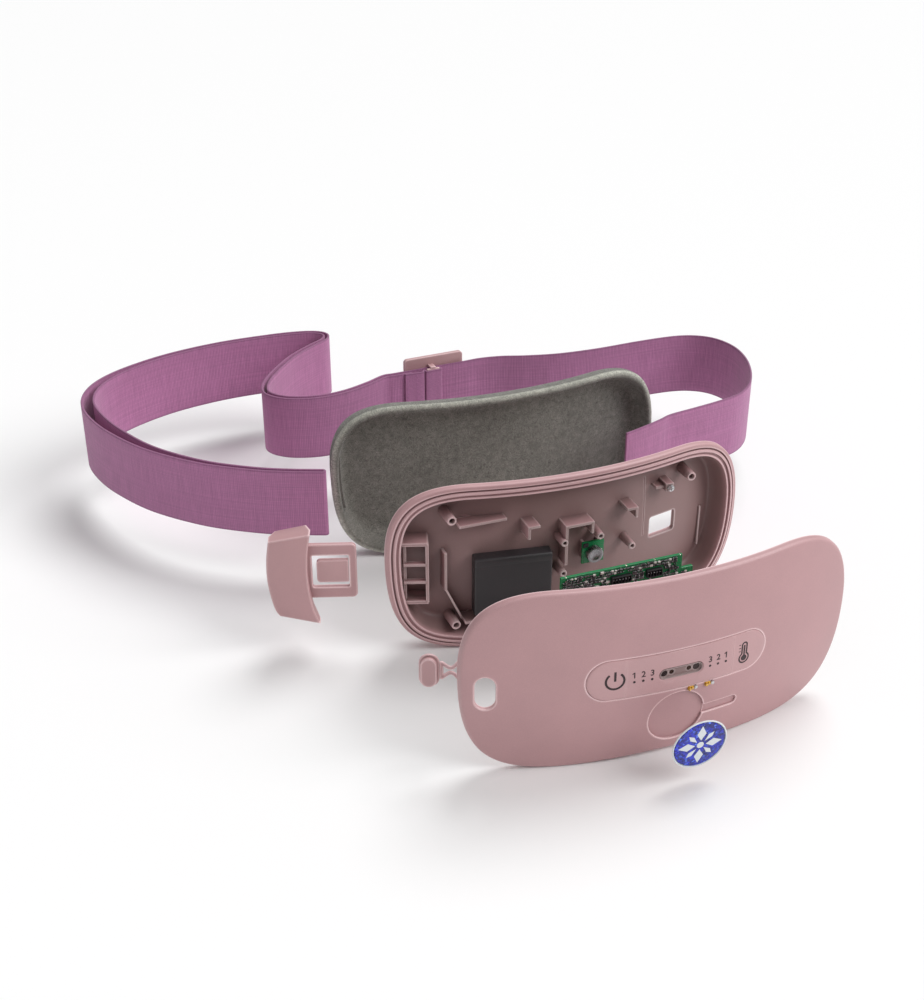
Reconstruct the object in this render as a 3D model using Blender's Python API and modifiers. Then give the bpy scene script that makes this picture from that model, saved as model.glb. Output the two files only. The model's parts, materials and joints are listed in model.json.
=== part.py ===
"""Massage belt pod, laid out in pieces along its assembly line.

Every piece is modelled where it sits in the closed pod. Parent empties then
carry each group out along the way it comes apart, as the photo shows it.
Metres, X across, Y back, Z up.
"""
import math

import bmesh
import bpy
from mathutils import Vector

MM = 0.001

# Pod outline, seen from the front
POD_HALF_WIDTH = 95.0 * MM
POD_TOP = 46.6 * MM
POD_FOOT = -43.9 * MM
POD_FOOT_ARCH = 1.5 * MM
WIDEST_HEIGHT = 8.0 * MM
SHOULDER_X = 54.0 * MM
FOOT_X = 50.0 * MM
BOW_RADIUS = 219.0 * MM
CROWN_RADIUS = 226.0 * MM
OUTLINE_POINTS = 56
FACET = 9.0 * MM
FIT_GAP = 0.3 * MM

# Case
CASE_DEPTH = 17.0 * MM
CASE_WALL = 3.0 * MM
BAND_DEPTH = 3.5 * MM
RIM_WIDTH = 6.6 * MM
COVER_FACE = 2.0 * MM
COVER_SKIRT = 4.0 * MM
COVER_SKIRT_WALL = 2.4 * MM
PAD_THICK = 3.7 * MM
PAD_BACK_GAP = 1.2 * MM
POST_RADIUS = 2.8 * MM
POST_BORE = 1.5 * MM
PIN_RADIUS = 1.2 * MM
POST_TIP = 2.5 * MM
CORNER_POSTS = ((-64.0, 28.5), (64.0, 28.5), (-62.0, -31.0), (62.0, -31.0))
BOARD_POSTS = ((-8.5, 9.4), (10.8, 9.6), (28.4, 0.4), (-8.6, -7.9))

# Front controls
PANEL_LENGTH = 87.0 * MM
PANEL_HEIGHT = 20.0 * MM
PANEL_Z = 3.0 * MM
PANEL_THICK = 1.0 * MM
POCKET_DEPTH = 1.3 * MM
KEY_SPLIT = 26.0 * MM
KEY_TRAVEL = 0.5 * MM
KEY_STEM = 2.2 * MM
PORT_LENGTH = 21.0 * MM
PORT_HEIGHT = 5.4 * MM
PORT_DEPTH = 1.6 * MM
CONTACT_LENGTH = 1.0 * MM
CONTACT_SINK = 0.05 * MM
BADGE_RADIUS = 13.2 * MM
BADGE_Z = -23.0 * MM
BADGE_THICK = 2.2 * MM
BADGE_POCKET = 1.2 * MM
THUMB_END = 31.0 * MM
THUMB_HEIGHT = 4.6 * MM
SLOT_X = -85.0 * MM
SLOT_WIDTH = 9.0 * MM
SLOT_HEIGHT = 16.6 * MM
PADDLE_SIDE_GAP = 1.2 * MM
PADDLE_SINK = 1.4 * MM

# Inside
BOARD_BACK = 4.8 * MM
BOARD_THICK = 1.6 * MM
BOARD_WIDTH = 74.0 * MM
BOARD_NECK = 62.0 * MM
BOARD_TOP = 20.5 * MM
BOARD_STEP = 13.0 * MM
BOARD_LOW = -13.0 * MM
BATTERY_SIZE = (39.0 * MM, 7.4 * MM, 32.0 * MM)
BATTERY_PLACE = (-34.0 * MM, -10.3 * MM)
BATTERY_FLOOR_GAP = 1.1 * MM
MOTOR_PLACE = (8.5 * MM, -1.0 * MM)
MOTOR_RADIUS = 4.6 * MM
MOTOR_HEIGHT = 2.9 * MM
MOTOR_BOARD_THICK = 1.2 * MM
FILM_THICK = 0.4 * MM

# Buckle
TONGUE_YAW = math.radians(18.0)
TONGUE_ROOT = (-96.4 * MM, 29.5 * MM, 0.0)
TONGUE_LENGTH = 22.6 * MM
TONGUE_HEIGHT = 30.0 * MM
TONGUE_THICK = 3.0 * MM
TONGUE_CLEAR = 0.4 * MM
SHIELD_DEPTH = 14.0 * MM
TAB_ROOT = 18.6 * MM
TAB_LENGTH = 15.4 * MM
TAB_HEIGHT = 13.6 * MM
TAB_SLOT = 2.2 * MM
TAB_CORNER = 1.6 * MM
TAB_FLEX_ROOM = 2.0 * MM
BAR_RADIUS = 2.0 * MM
BAR_LENGTH = 40.0 * MM

# Strap
STRAP_WIDTH = 38.0 * MM
STRAP_THICK = 1.2 * MM
STRAP_LAP = 1.4 * MM
STRAP_BULGE = 2.2 * MM
STRAP_SEAT_DEPTH = 1.9 * MM
SLIDER_PLACE = (-3.5 * MM, 146.2 * MM)
SLIDER_YAW = math.radians(3.0)
SLIDER_LENGTH = 37.5 * MM
SLIDER_HEIGHT = 53.0 * MM
SLIDER_RAIL = 4.6 * MM

# How far each group is carried out of the closed pod
COVER_OUT = (0.0, -(99.5 * MM - COVER_SKIRT - FIT_GAP), 0.0)
BOARD_OUT = (0.0, -43.0 * MM, 0.0)
BADGE_OUT = (0.0, -20.8 * MM, 0.0)
RELEASE_OUT = (-18.0 * MM, 21.0 * MM, 0.0)
BUCKLE_PULL = 33.0 * MM
STRAP_OUT = (0.0, 60.2 * MM, 0.0)
PAD_OUT = (0.0, 90.5 * MM, 0.0)

COLORS = {
    "pink": (0.50, 0.29, 0.31),
    "pink_light": (0.56, 0.35, 0.36),
    "purple": (0.30, 0.09, 0.26),
    "felt": (0.095, 0.09, 0.08),
    "charcoal": (0.042, 0.038, 0.042),
    "green": (0.005, 0.16, 0.045),
    "silver": (0.55, 0.55, 0.56),
    "brass": (0.58, 0.36, 0.08),
    "black": (0.015, 0.015, 0.017),
    "ivory": (0.62, 0.60, 0.55),
    "blue": (0.02, 0.03, 0.50),
    "white": (0.75, 0.75, 0.76),
    "amber": (0.30, 0.12, 0.02),
}
METALS = ("silver", "brass")


def clear_scene():
    """Take every object out of the start file."""
    for old in list(bpy.data.objects):
        bpy.data.objects.remove(old, do_unlink=True)


def material(key):
    """One Principled material for each colour name."""
    if key in bpy.data.materials:
        return bpy.data.materials[key]
    mat = bpy.data.materials.new(key)
    mat.use_nodes = True
    shader = mat.node_tree.nodes["Principled BSDF"]
    shader.inputs["Base Color"].default_value = (*COLORS[key], 1.0)
    shader.inputs["Metallic"].default_value = 1.0 if key in METALS else 0.0
    shader.inputs["Roughness"].default_value = 0.35 if key in METALS else 0.55
    return mat


def group(name):
    """A collection of its own, linked into the scene."""
    box = bpy.data.collections.new(name)
    bpy.context.scene.collection.children.link(box)
    return box


def from_bmesh(name, bm, color=None, home=None):
    """Close a bmesh into an object with outward faces."""
    bmesh.ops.recalc_face_normals(bm, faces=bm.faces)
    mesh = bpy.data.meshes.new(name)
    bm.to_mesh(mesh)
    bm.free()
    thing = bpy.data.objects.new(name, mesh)
    if color:
        mesh.materials.append(material(color))
    (home or bpy.context.scene.collection).objects.link(thing)
    return thing


def as_cutter(thing):
    """Mark a helper solid so that it never renders."""
    thing.hide_render = True
    thing.display_type = "WIRE"
    return thing


def surface_y(x, z):
    """Depth of the crowned pod surface behind its middle."""
    return x * x / (2.0 * BOW_RADIUS) + z * z / (2.0 * CROWN_RADIUS)


def bezier(a, b, c, d, t):
    """A point on a cubic curve in the plane."""
    s = 1.0 - t
    return tuple(s ** 3 * a[i] + 3 * s * s * t * b[i] + 3 * s * t * t * c[i] + t ** 3 * d[i]
                 for i in range(2))


def dense_half():
    """The right half of the pod outline, foot middle to top middle."""
    foot = POD_FOOT
    arch = POD_FOOT + POD_FOOT_ARCH
    wide = POD_HALF_WIDTH
    reach_top = 0.81 * (POD_TOP - WIDEST_HEIGHT)
    reach_foot = 0.865 * (WIDEST_HEIGHT - POD_FOOT)
    spans = (
        ((0.0, arch), (0.5 * FOOT_X, arch), (0.7 * FOOT_X, foot), (FOOT_X, foot)),
        ((FOOT_X, foot), (FOOT_X + 0.66 * (wide - FOOT_X), foot),
         (wide, WIDEST_HEIGHT - reach_foot), (wide, WIDEST_HEIGHT)),
        ((wide, WIDEST_HEIGHT), (wide, WIDEST_HEIGHT + reach_top),
         (SHOULDER_X + 0.57 * (wide - SHOULDER_X), POD_TOP), (SHOULDER_X, POD_TOP)),
        ((SHOULDER_X, POD_TOP), (0.7 * SHOULDER_X, POD_TOP), (0.4 * SHOULDER_X, POD_TOP), (0.0, POD_TOP)),
    )
    points = [spans[0][0]]
    for span in spans:
        points.extend(bezier(*span, k / 60.0) for k in range(1, 61))
    return points


def make_outline():
    """Evenly spaced outline points with outward normals, all the way round."""
    dense = dense_half()
    run = [0.0]
    for a, b in zip(dense, dense[1:]):
        run.append(run[-1] + math.dist(a, b))
    half = OUTLINE_POINTS // 2
    found = []
    for k in range(half + 1):
        goal = run[-1] * k / half
        i = min(max(1, sum(1 for r in run if r < goal)), len(run) - 1)
        f = (goal - run[i - 1]) / (run[i] - run[i - 1])
        a, b = dense[i - 1], dense[i]
        lo, hi = dense[max(0, i - 3)], dense[min(len(dense) - 1, i + 2)]
        along = Vector((hi[0] - lo[0], hi[1] - lo[1])).normalized()
        if k in (0, half):
            along = Vector((1.0 if k == 0 else -1.0, 0.0))
        found.append(((a[0] + (b[0] - a[0]) * f, a[1] + (b[1] - a[1]) * f), (along.y, -along.x)))
    left = [((-p[0], p[1]), (-n[0], n[1])) for p, n in reversed(found[1:-1])]
    return found + left


OUTLINE = make_outline()


def ring_at(bm, inset, depth, shrink=1.0):
    """One ring of the pod outline, drawn in by inset and set at a depth."""
    ring = []
    for (x, z), (nx, nz) in OUTLINE:
        px = (x - nx * inset) * shrink
        pz = (z - nz * inset) * shrink
        ring.append(bm.verts.new((px, surface_y(px, pz) + depth, pz)))
    return ring


def skin(bm, rings):
    """Quads between each ring and the next."""
    for a, b in zip(rings, rings[1:]):
        n = len(a)
        for i in range(n):
            bm.faces.new((a[i], a[(i + 1) % n], b[(i + 1) % n], b[i]))


def fan(bm, ring, middle):
    """Close a ring on one middle point."""
    n = len(ring)
    for i in range(n):
        bm.faces.new((ring[i], ring[(i + 1) % n], middle))


def loft_shell(name, profile, color):
    """A closed shell from a profile of (inset, depth) that starts and ends at the middle."""
    bm = bmesh.new()
    shrinks = (0.14, 0.36, 0.58, 0.80)
    first, last = profile[0], profile[-1]
    rings = [ring_at(bm, *first, shrink=s) for s in shrinks]
    rings += [ring_at(bm, *step) for step in profile]
    rings += [ring_at(bm, *last, shrink=s) for s in reversed(shrinks)]
    skin(bm, rings)
    fan(bm, rings[0], bm.verts.new((0.0, first[1], 0.0)))
    fan(bm, rings[-1], bm.verts.new((0.0, last[1], 0.0)))
    return from_bmesh(name, bm, color)


def split_long(points):
    """Add points on an outline's long edges, so that it can follow a curved surface."""
    out = []
    for a, b in zip(points, points[1:] + points[:1]):
        parts = max(1, math.ceil(math.dist(a, b) / FACET))
        out.extend((a[0] + (b[0] - a[0]) * k / parts, a[1] + (b[1] - a[1]) * k / parts) for k in range(parts))
    return out


def curved_slab(name, points, front, back, color=None, home=None):
    """A slab with a flat outline that follows the pod surface between two depths."""
    bm = bmesh.new()
    points = split_long(points)
    cx = (min(p[0] for p in points) + max(p[0] for p in points)) / 2.0
    cz = (min(p[1] for p in points) + max(p[1] for p in points)) / 2.0

    def layer(depth, shrink):
        spots = [(cx + (x - cx) * shrink, cz + (z - cz) * shrink) for x, z in points]
        return [bm.verts.new((x, surface_y(x, z) + depth, z)) for x, z in spots]
    rings = [layer(front, s) for s in (0.33, 0.67, 1.0)] + [layer(back, s) for s in (1.0, 0.67, 0.33)]
    skin(bm, rings)
    fan(bm, rings[0], bm.verts.new((cx, surface_y(cx, cz) + front, cz)))
    fan(bm, rings[-1], bm.verts.new((cx, surface_y(cx, cz) + back, cz)))
    return from_bmesh(name, bm, color, home)


def pill_points(x0, x1, z0, z1, steps=8, radius=None):
    """Outline of a stadium, or of a rounded rectangle where a radius is given."""
    r = radius or min(x1 - x0, z1 - z0) / 2.0
    points = []
    for ox, oz, start in ((x1 - r, z1 - r, 0), (x0 + r, z1 - r, 90), (x0 + r, z0 + r, 180), (x1 - r, z0 + r, 270)):
        for k in range(steps // 2 + 1):
            a = math.radians(start + 90.0 * k / (steps // 2))
            spot = (ox + r * math.cos(a), oz + r * math.sin(a))
            if not points or math.dist(spot, points[-1]) > 0.02 * MM:
                points.append(spot)
    if math.dist(points[0], points[-1]) < 0.02 * MM:
        points.pop()
    return points


def circle_points(x, z, radius, count):
    """Points round a circle in the front plane."""
    return [(x + radius * math.cos(2 * math.pi * k / count), z + radius * math.sin(2 * math.pi * k / count))
            for k in range(count)]


def prism(name, points, y0, y1, color=None, home=None):
    """A straight solid between two depths from an outline in the front plane."""
    bm = bmesh.new()
    near = [bm.verts.new((x, y0, z)) for x, z in points]
    far = [bm.verts.new((x, y1, z)) for x, z in points]
    skin(bm, [near, far])
    bm.faces.new(near)
    bm.faces.new(far)
    return from_bmesh(name, bm, color, home)


def block(name, x0, x1, y0, y1, z0, z1, color=None, home=None, bevel=0.0):
    """A box between corner values, with an optional bevel."""
    bm = bmesh.new()
    bmesh.ops.create_cube(bm, size=1.0)
    for v in bm.verts:
        v.co.x = x0 + (v.co.x + 0.5) * (x1 - x0)
        v.co.y = y0 + (v.co.y + 0.5) * (y1 - y0)
        v.co.z = z0 + (v.co.z + 0.5) * (z1 - z0)
    thing = from_bmesh(name, bm, color, home)
    if bevel:
        mod = thing.modifiers.new("edge", "BEVEL")
        mod.width = bevel
        mod.segments = 2
    return thing


def rod(name, radius, length, color=None, home=None):
    """An upright round rod about its own middle."""
    bm = bmesh.new()
    bmesh.ops.create_cone(bm, cap_ends=True, segments=16, radius1=radius, radius2=radius, depth=length)
    return from_bmesh(name, bm, color, home)


def boolean(target, home, operation):
    """Join or cut a target with every solid of a collection."""
    mod = target.modifiers.new(operation.lower(), "BOOLEAN")
    mod.operation = operation
    mod.solver = "EXACT"
    mod.operand_type = "COLLECTION"
    mod.collection = home
    for helper in home.objects:
        as_cutter(helper)


ORIGIN = None


def body(name, anchor=(0.0, 0.0, 0.0), out=(0.0, 0.0, 0.0), parent=None):
    """A parent empty on the joint, carried out of the closed pod."""
    empty = bpy.data.objects.new(name, None)
    bpy.context.scene.collection.objects.link(empty)
    up = parent["anchor"] if parent else (0.0, 0.0, 0.0)
    empty.parent = parent if parent else ORIGIN
    empty.location = [anchor[i] + out[i] - up[i] for i in range(3)]
    empty["anchor"] = anchor
    empty.empty_display_size = 0.01
    return empty


def put(thing, holder, place=(0.0, 0.0, 0.0), yaw=0.0):
    """Hang a piece on its body at its closed place."""
    thing.parent = holder
    thing.location = [place[i] - holder["anchor"][i] for i in range(3)]
    thing.rotation_euler = (0.0, 0.0, yaw)
    return thing


def tangent_yaw(x):
    """Turn about Z that lays a flat piece along the bow at x."""
    return math.atan2(x, BOW_RADIUS)


def build_housing(holder):
    """Rear housing: bowl, stepped rim, posts, ribs, socket and strap seat in one moulding."""
    deep = CASE_DEPTH
    floor = CASE_DEPTH - CASE_WALL
    step = PAD_THICK + FIT_GAP
    profile = (
        (15.0 * MM, deep), (11.0 * MM, deep - 0.9 * MM), (8.2 * MM, deep - 3.2 * MM),
        (6.0 * MM, 0.55 * deep), (step + 0.4 * MM, BAND_DEPTH + 1.2 * MM), (step, BAND_DEPTH),
        (0.0, BAND_DEPTH), (0.0, 0.5 * MM), (0.5 * MM, 0.0), (2.5 * MM, 0.0), (2.5 * MM, 0.9 * MM),
        (3.0 * MM, 0.9 * MM), (3.0 * MM, 0.25 * MM), (RIM_WIDTH - 0.5 * MM, 0.6 * MM), (RIM_WIDTH, 1.2 * MM),
        (RIM_WIDTH + 1.2 * MM, 0.36 * floor), (RIM_WIDTH + 3.0 * MM, 0.7 * floor),
        (RIM_WIDTH + 5.4 * MM, floor - 1.4 * MM), (RIM_WIDTH + 9.0 * MM, floor),
    )
    shell = loft_shell("rear_housing", profile, "pink")
    put(shell, holder)
    add = group("housing_bosses")
    cut = group("housing_cuts")
    root = floor + 1.0 * MM
    for k, (px, pz) in enumerate(CORNER_POSTS + BOARD_POSTS):
        x, z = px * MM, pz * MM
        skin_y = surface_y(x, z)
        tip = skin_y + POST_TIP if k < len(CORNER_POSTS) else BOARD_BACK + FIT_GAP
        radius = POST_RADIUS if k < len(CORNER_POSTS) else 0.8 * POST_RADIUS
        bore = POST_BORE if k < len(CORNER_POSTS) else 0.65 * POST_BORE
        put(prism(f"post_{k}", circle_points(x, z, radius, 14), tip, skin_y + root, None, add), holder)
        put(prism(f"bore_{k}", circle_points(x, z, bore, 10), tip - 2 * MM, tip + 7.5 * MM, None, cut), holder)

    def rib(name, x0, x1, z0, z1, tip):
        cx, cz = (x0 + x1) / 2 * MM, (z0 + z1) / 2 * MM
        end = surface_y(cx, cz) + root
        put(block(name, x0 * MM, x1 * MM, tip * MM, end, z0 * MM, z1 * MM, None, add), holder)
    rib("shelf", -60.5, -36.0, 23.8, 25.2, 13.0)
    rib("bay_left", -66.4, -65.0, -12.7, 8.6, 18.0)
    rib("bay_low", -57.6, -40.0, -31.0, -29.6, 12.5)
    rib("holder_left", -7.9, -6.4, -3.8, 18.4, 6.0)
    rib("holder_top", -7.3, 7.4, 16.9, 18.4, 6.0)
    rib("holder_right", 6.0, 7.4, 11.6, 17.5, 6.0)
    rib("hook_left_a", -27.6, -26.2, 14.6, 21.6, 6.4)
    rib("hook_left_b", -27.0, -21.2, 20.2, 21.6, 6.4)
    rib("hook_right_a", 30.0, 31.4, 15.4, 21.4, 6.6)
    rib("hook_right_b", 25.4, 30.6, 20.0, 21.4, 6.6)
    rib("screw_post", 49.6, 54.0, 22.8, 27.2, 13.2)
    rib("screw_arm", 45.0, 50.2, 24.2, 25.6, 15.0)
    put(prism("bay_slant", [(-66.2 * MM, -12.0 * MM), (-65.0 * MM, -12.4 * MM), (-56.6 * MM, -30.9 * MM),
                            (-57.8 * MM, -30.9 * MM)], 18.0 * MM, surface_y(-61 * MM, -21 * MM) + root, None, add),
        holder)
    rest = (BOARD_BACK + MM + MOTOR_HEIGHT + MOTOR_BOARD_THICK + FIT_GAP) / MM
    rib("motor_rest_left", 3.6, 5.0, -5.4, 4.4, rest)
    rib("motor_rest_right", 12.0, 13.4, -5.4, 4.4, rest)
    half = TONGUE_HEIGHT / 2 + TONGUE_CLEAR
    grid = -(TONGUE_THICK / 2 + 4.3 * MM)
    low = 5.2 * MM
    for name, u0, u1, z0, z1, v1 in (
            ("socket_top", 11.7, 24.0, half / MM, half / MM + 1.8, low),
            ("socket_low", 11.7, 24.0, -half / MM - 1.8, -half / MM, low),
            ("socket_end", 22.8, 24.4, -half / MM - 0.9, half / MM + 0.9, low),
            ("grid_left", 12.1, 13.6, -half / MM - 0.9, half / MM + 0.9, -2.6 * MM),
            ("grid_a", 12.9, 23.6, 4.2, 5.6, -2.6 * MM), ("grid_b", 12.9, 23.6, -5.6, -4.2, -2.6 * MM)):
        put(block(name, u0 * MM, u1 * MM, grid, v1, z0 * MM, z1 * MM, None, add), holder, TONGUE_ROOT, -TONGUE_YAW)
    put(block("tongue_way", -6 * MM, TONGUE_LENGTH + FIT_GAP, -TONGUE_THICK / 2 - TONGUE_CLEAR,
              TONGUE_THICK / 2 + TONGUE_CLEAR, -half, half, None, cut), holder, TONGUE_ROOT, -TONGUE_YAW)
    flap = TAB_HEIGHT / 2 + TAB_SLOT / 2
    put(block("tab_room", 2 * MM, TAB_ROOT - 3 * MM, 0.0, TONGUE_THICK / 2 + TAB_FLEX_ROOM, -flap, flap, None, cut),
        holder, TONGUE_ROOT, -TONGUE_YAW)
    put(prism("wire_window", pill_points(44.4 * MM, 60.6 * MM, -5.6 * MM, 6.2 * MM, 4, 1.0 * MM),
              surface_y(52 * MM, 0) + 0.4 * floor, surface_y(60 * MM, 0) + deep + 6 * MM, None, cut), holder)
    seat = STRAP_WIDTH / 2 + 0.6 * MM
    curved = [(x, s * seat) for s in (-1, 1) for x in
              ([v * MM for v in (62.6, 70, 78, 86, 94, 102)][::-s])]
    put(curved_slab("strap_seat", curved, deep - STRAP_SEAT_DEPTH, deep + 25 * MM, None, cut), holder)
    put(prism("screw_bore", circle_points(51.8 * MM, 25.0 * MM, 1.1 * MM, 10), 11 * MM, 18 * MM, None, cut), holder)
    boolean(shell, add, "UNION")
    boolean(shell, cut, "DIFFERENCE")
    return shell


def build_inside(holder):
    """Battery, motor, bracket screw and heating film that stay in the housing."""
    wide, thick, tall = BATTERY_SIZE
    bx, bz = BATTERY_PLACE
    pack = block("battery_pack", -wide / 2, wide / 2, 0.0, thick, -tall / 2, tall / 2, "charcoal", bevel=0.8 * MM)
    depth = CASE_DEPTH - CASE_WALL - thick - BATTERY_FLOOR_GAP
    put(pack, holder, (bx, surface_y(bx, bz) + depth, bz), tangent_yaw(bx))
    mx, mz = MOTOR_PLACE
    base = BOARD_BACK + 1.0 * MM + MOTOR_HEIGHT
    board = block("motor_board", mx - 5.9 * MM, mx + 5.9 * MM, base, base + MOTOR_BOARD_THICK,
                  mz - 5.6 * MM, mz + 6.4 * MM, "green")
    put(board, holder)
    can = prism("motor_can", circle_points(mx, mz, MOTOR_RADIUS, 24), base - MOTOR_HEIGHT - FIT_GAP,
                base - FIT_GAP, "silver")
    put(can, holder)
    hollow = group("motor_hollow")
    put(prism("motor_room", circle_points(mx, mz, MOTOR_RADIUS - 0.5 * MM, 24),
              base - MOTOR_HEIGHT + 0.2 * MM, base + MM, None, hollow), holder)
    boolean(can, hollow, "DIFFERENCE")
    spin = body("motor_spin_axis", (mx, base - 1.6 * MM, mz), parent=holder)
    sweep = MOTOR_RADIUS - 1.0 * MM
    half_disc = [(mx + sweep * math.cos(math.radians(a)), mz + sweep * math.sin(math.radians(a)))
                 for a in range(-200, 21, 20)]
    put(prism("motor_weight", half_disc, base - 2.3 * MM, base - 0.8 * MM, "brass"), spin)
    screw = prism("bracket_screw", circle_points(51.8 * MM, 25.0 * MM, 1.8 * MM, 14), 11.7 * MM, 12.9 * MM, "silver")
    put(screw, holder)
    shank = group("screw_shank")
    put(prism("shank", circle_points(51.8 * MM, 25.0 * MM, 0.8 * MM, 10), 12.4 * MM, 17.2 * MM, None, shank), holder)
    boolean(screw, shank, "UNION")
    film = curved_slab("heating_film", pill_points(-52 * MM, 40 * MM, -19 * MM, 19 * MM, 8),
                       CASE_DEPTH + FIT_GAP, CASE_DEPTH + FIT_GAP + FILM_THICK, "amber")
    put(film, holder)


def build_board(holder):
    """Main board with the parts that it carries."""
    face = BOARD_BACK - BOARD_THICK
    w, n = BOARD_WIDTH / 2, BOARD_NECK / 2
    points = [(-w, BOARD_LOW), (w, BOARD_LOW), (w, BOARD_STEP), (n, BOARD_STEP), (n, BOARD_TOP),
              (-n, BOARD_TOP), (-n, BOARD_STEP), (-w, BOARD_STEP)]
    board = prism("main_board", points, face, BOARD_BACK, "green")
    put(board, holder)
    top = face - 0.05 * MM
    parts = (
        ("main_chip", -17.0, -8.0, -9.0, 0.0, 1.2, "black"),
        ("charge_chip", 14.0, 19.0, -10.0, -5.0, 1.0, "black"),
        ("power_inductor", 21.5, 27.5, -11.5, -5.5, 1.9, "charcoal"),
        ("storage_capacitor", -26.0, -20.0, -11.0, -7.5, 1.8, "ivory"),
        ("battery_connector", -6.0, 4.0, 12.4, 16.4, 2.0, "ivory"),
        ("heater_connector", 12.0, 20.0, 12.4, 16.4, 2.0, "ivory"),
        ("power_switch", -35.5, -30.5, 1.0, 6.0, 0.6, "silver"),
        ("heat_switch", 30.5, 35.5, 1.0, 6.0, 0.6, "silver"),
    )
    for name, x0, x1, z0, z1, tall, color in parts:
        put(block(name, x0 * MM, x1 * MM, top - tall * MM, top, z0 * MM, z1 * MM, color), holder)


def key_points(side, grow=0.0):
    """Outline of a key: one end of the pill, cut off square at the split."""
    end = PANEL_LENGTH / 2 + grow
    r = PANEL_HEIGHT / 2 + grow
    split = KEY_SPLIT - grow
    points = [(split, PANEL_Z - r)]
    for k in range(9):
        a = math.radians(-90 + 22.5 * k)
        points.append((end - r + r * math.cos(a), PANEL_Z + r * math.sin(a)))
    points.append((split, PANEL_Z + r))
    return [(side * x, z) for x, z in points]


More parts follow.
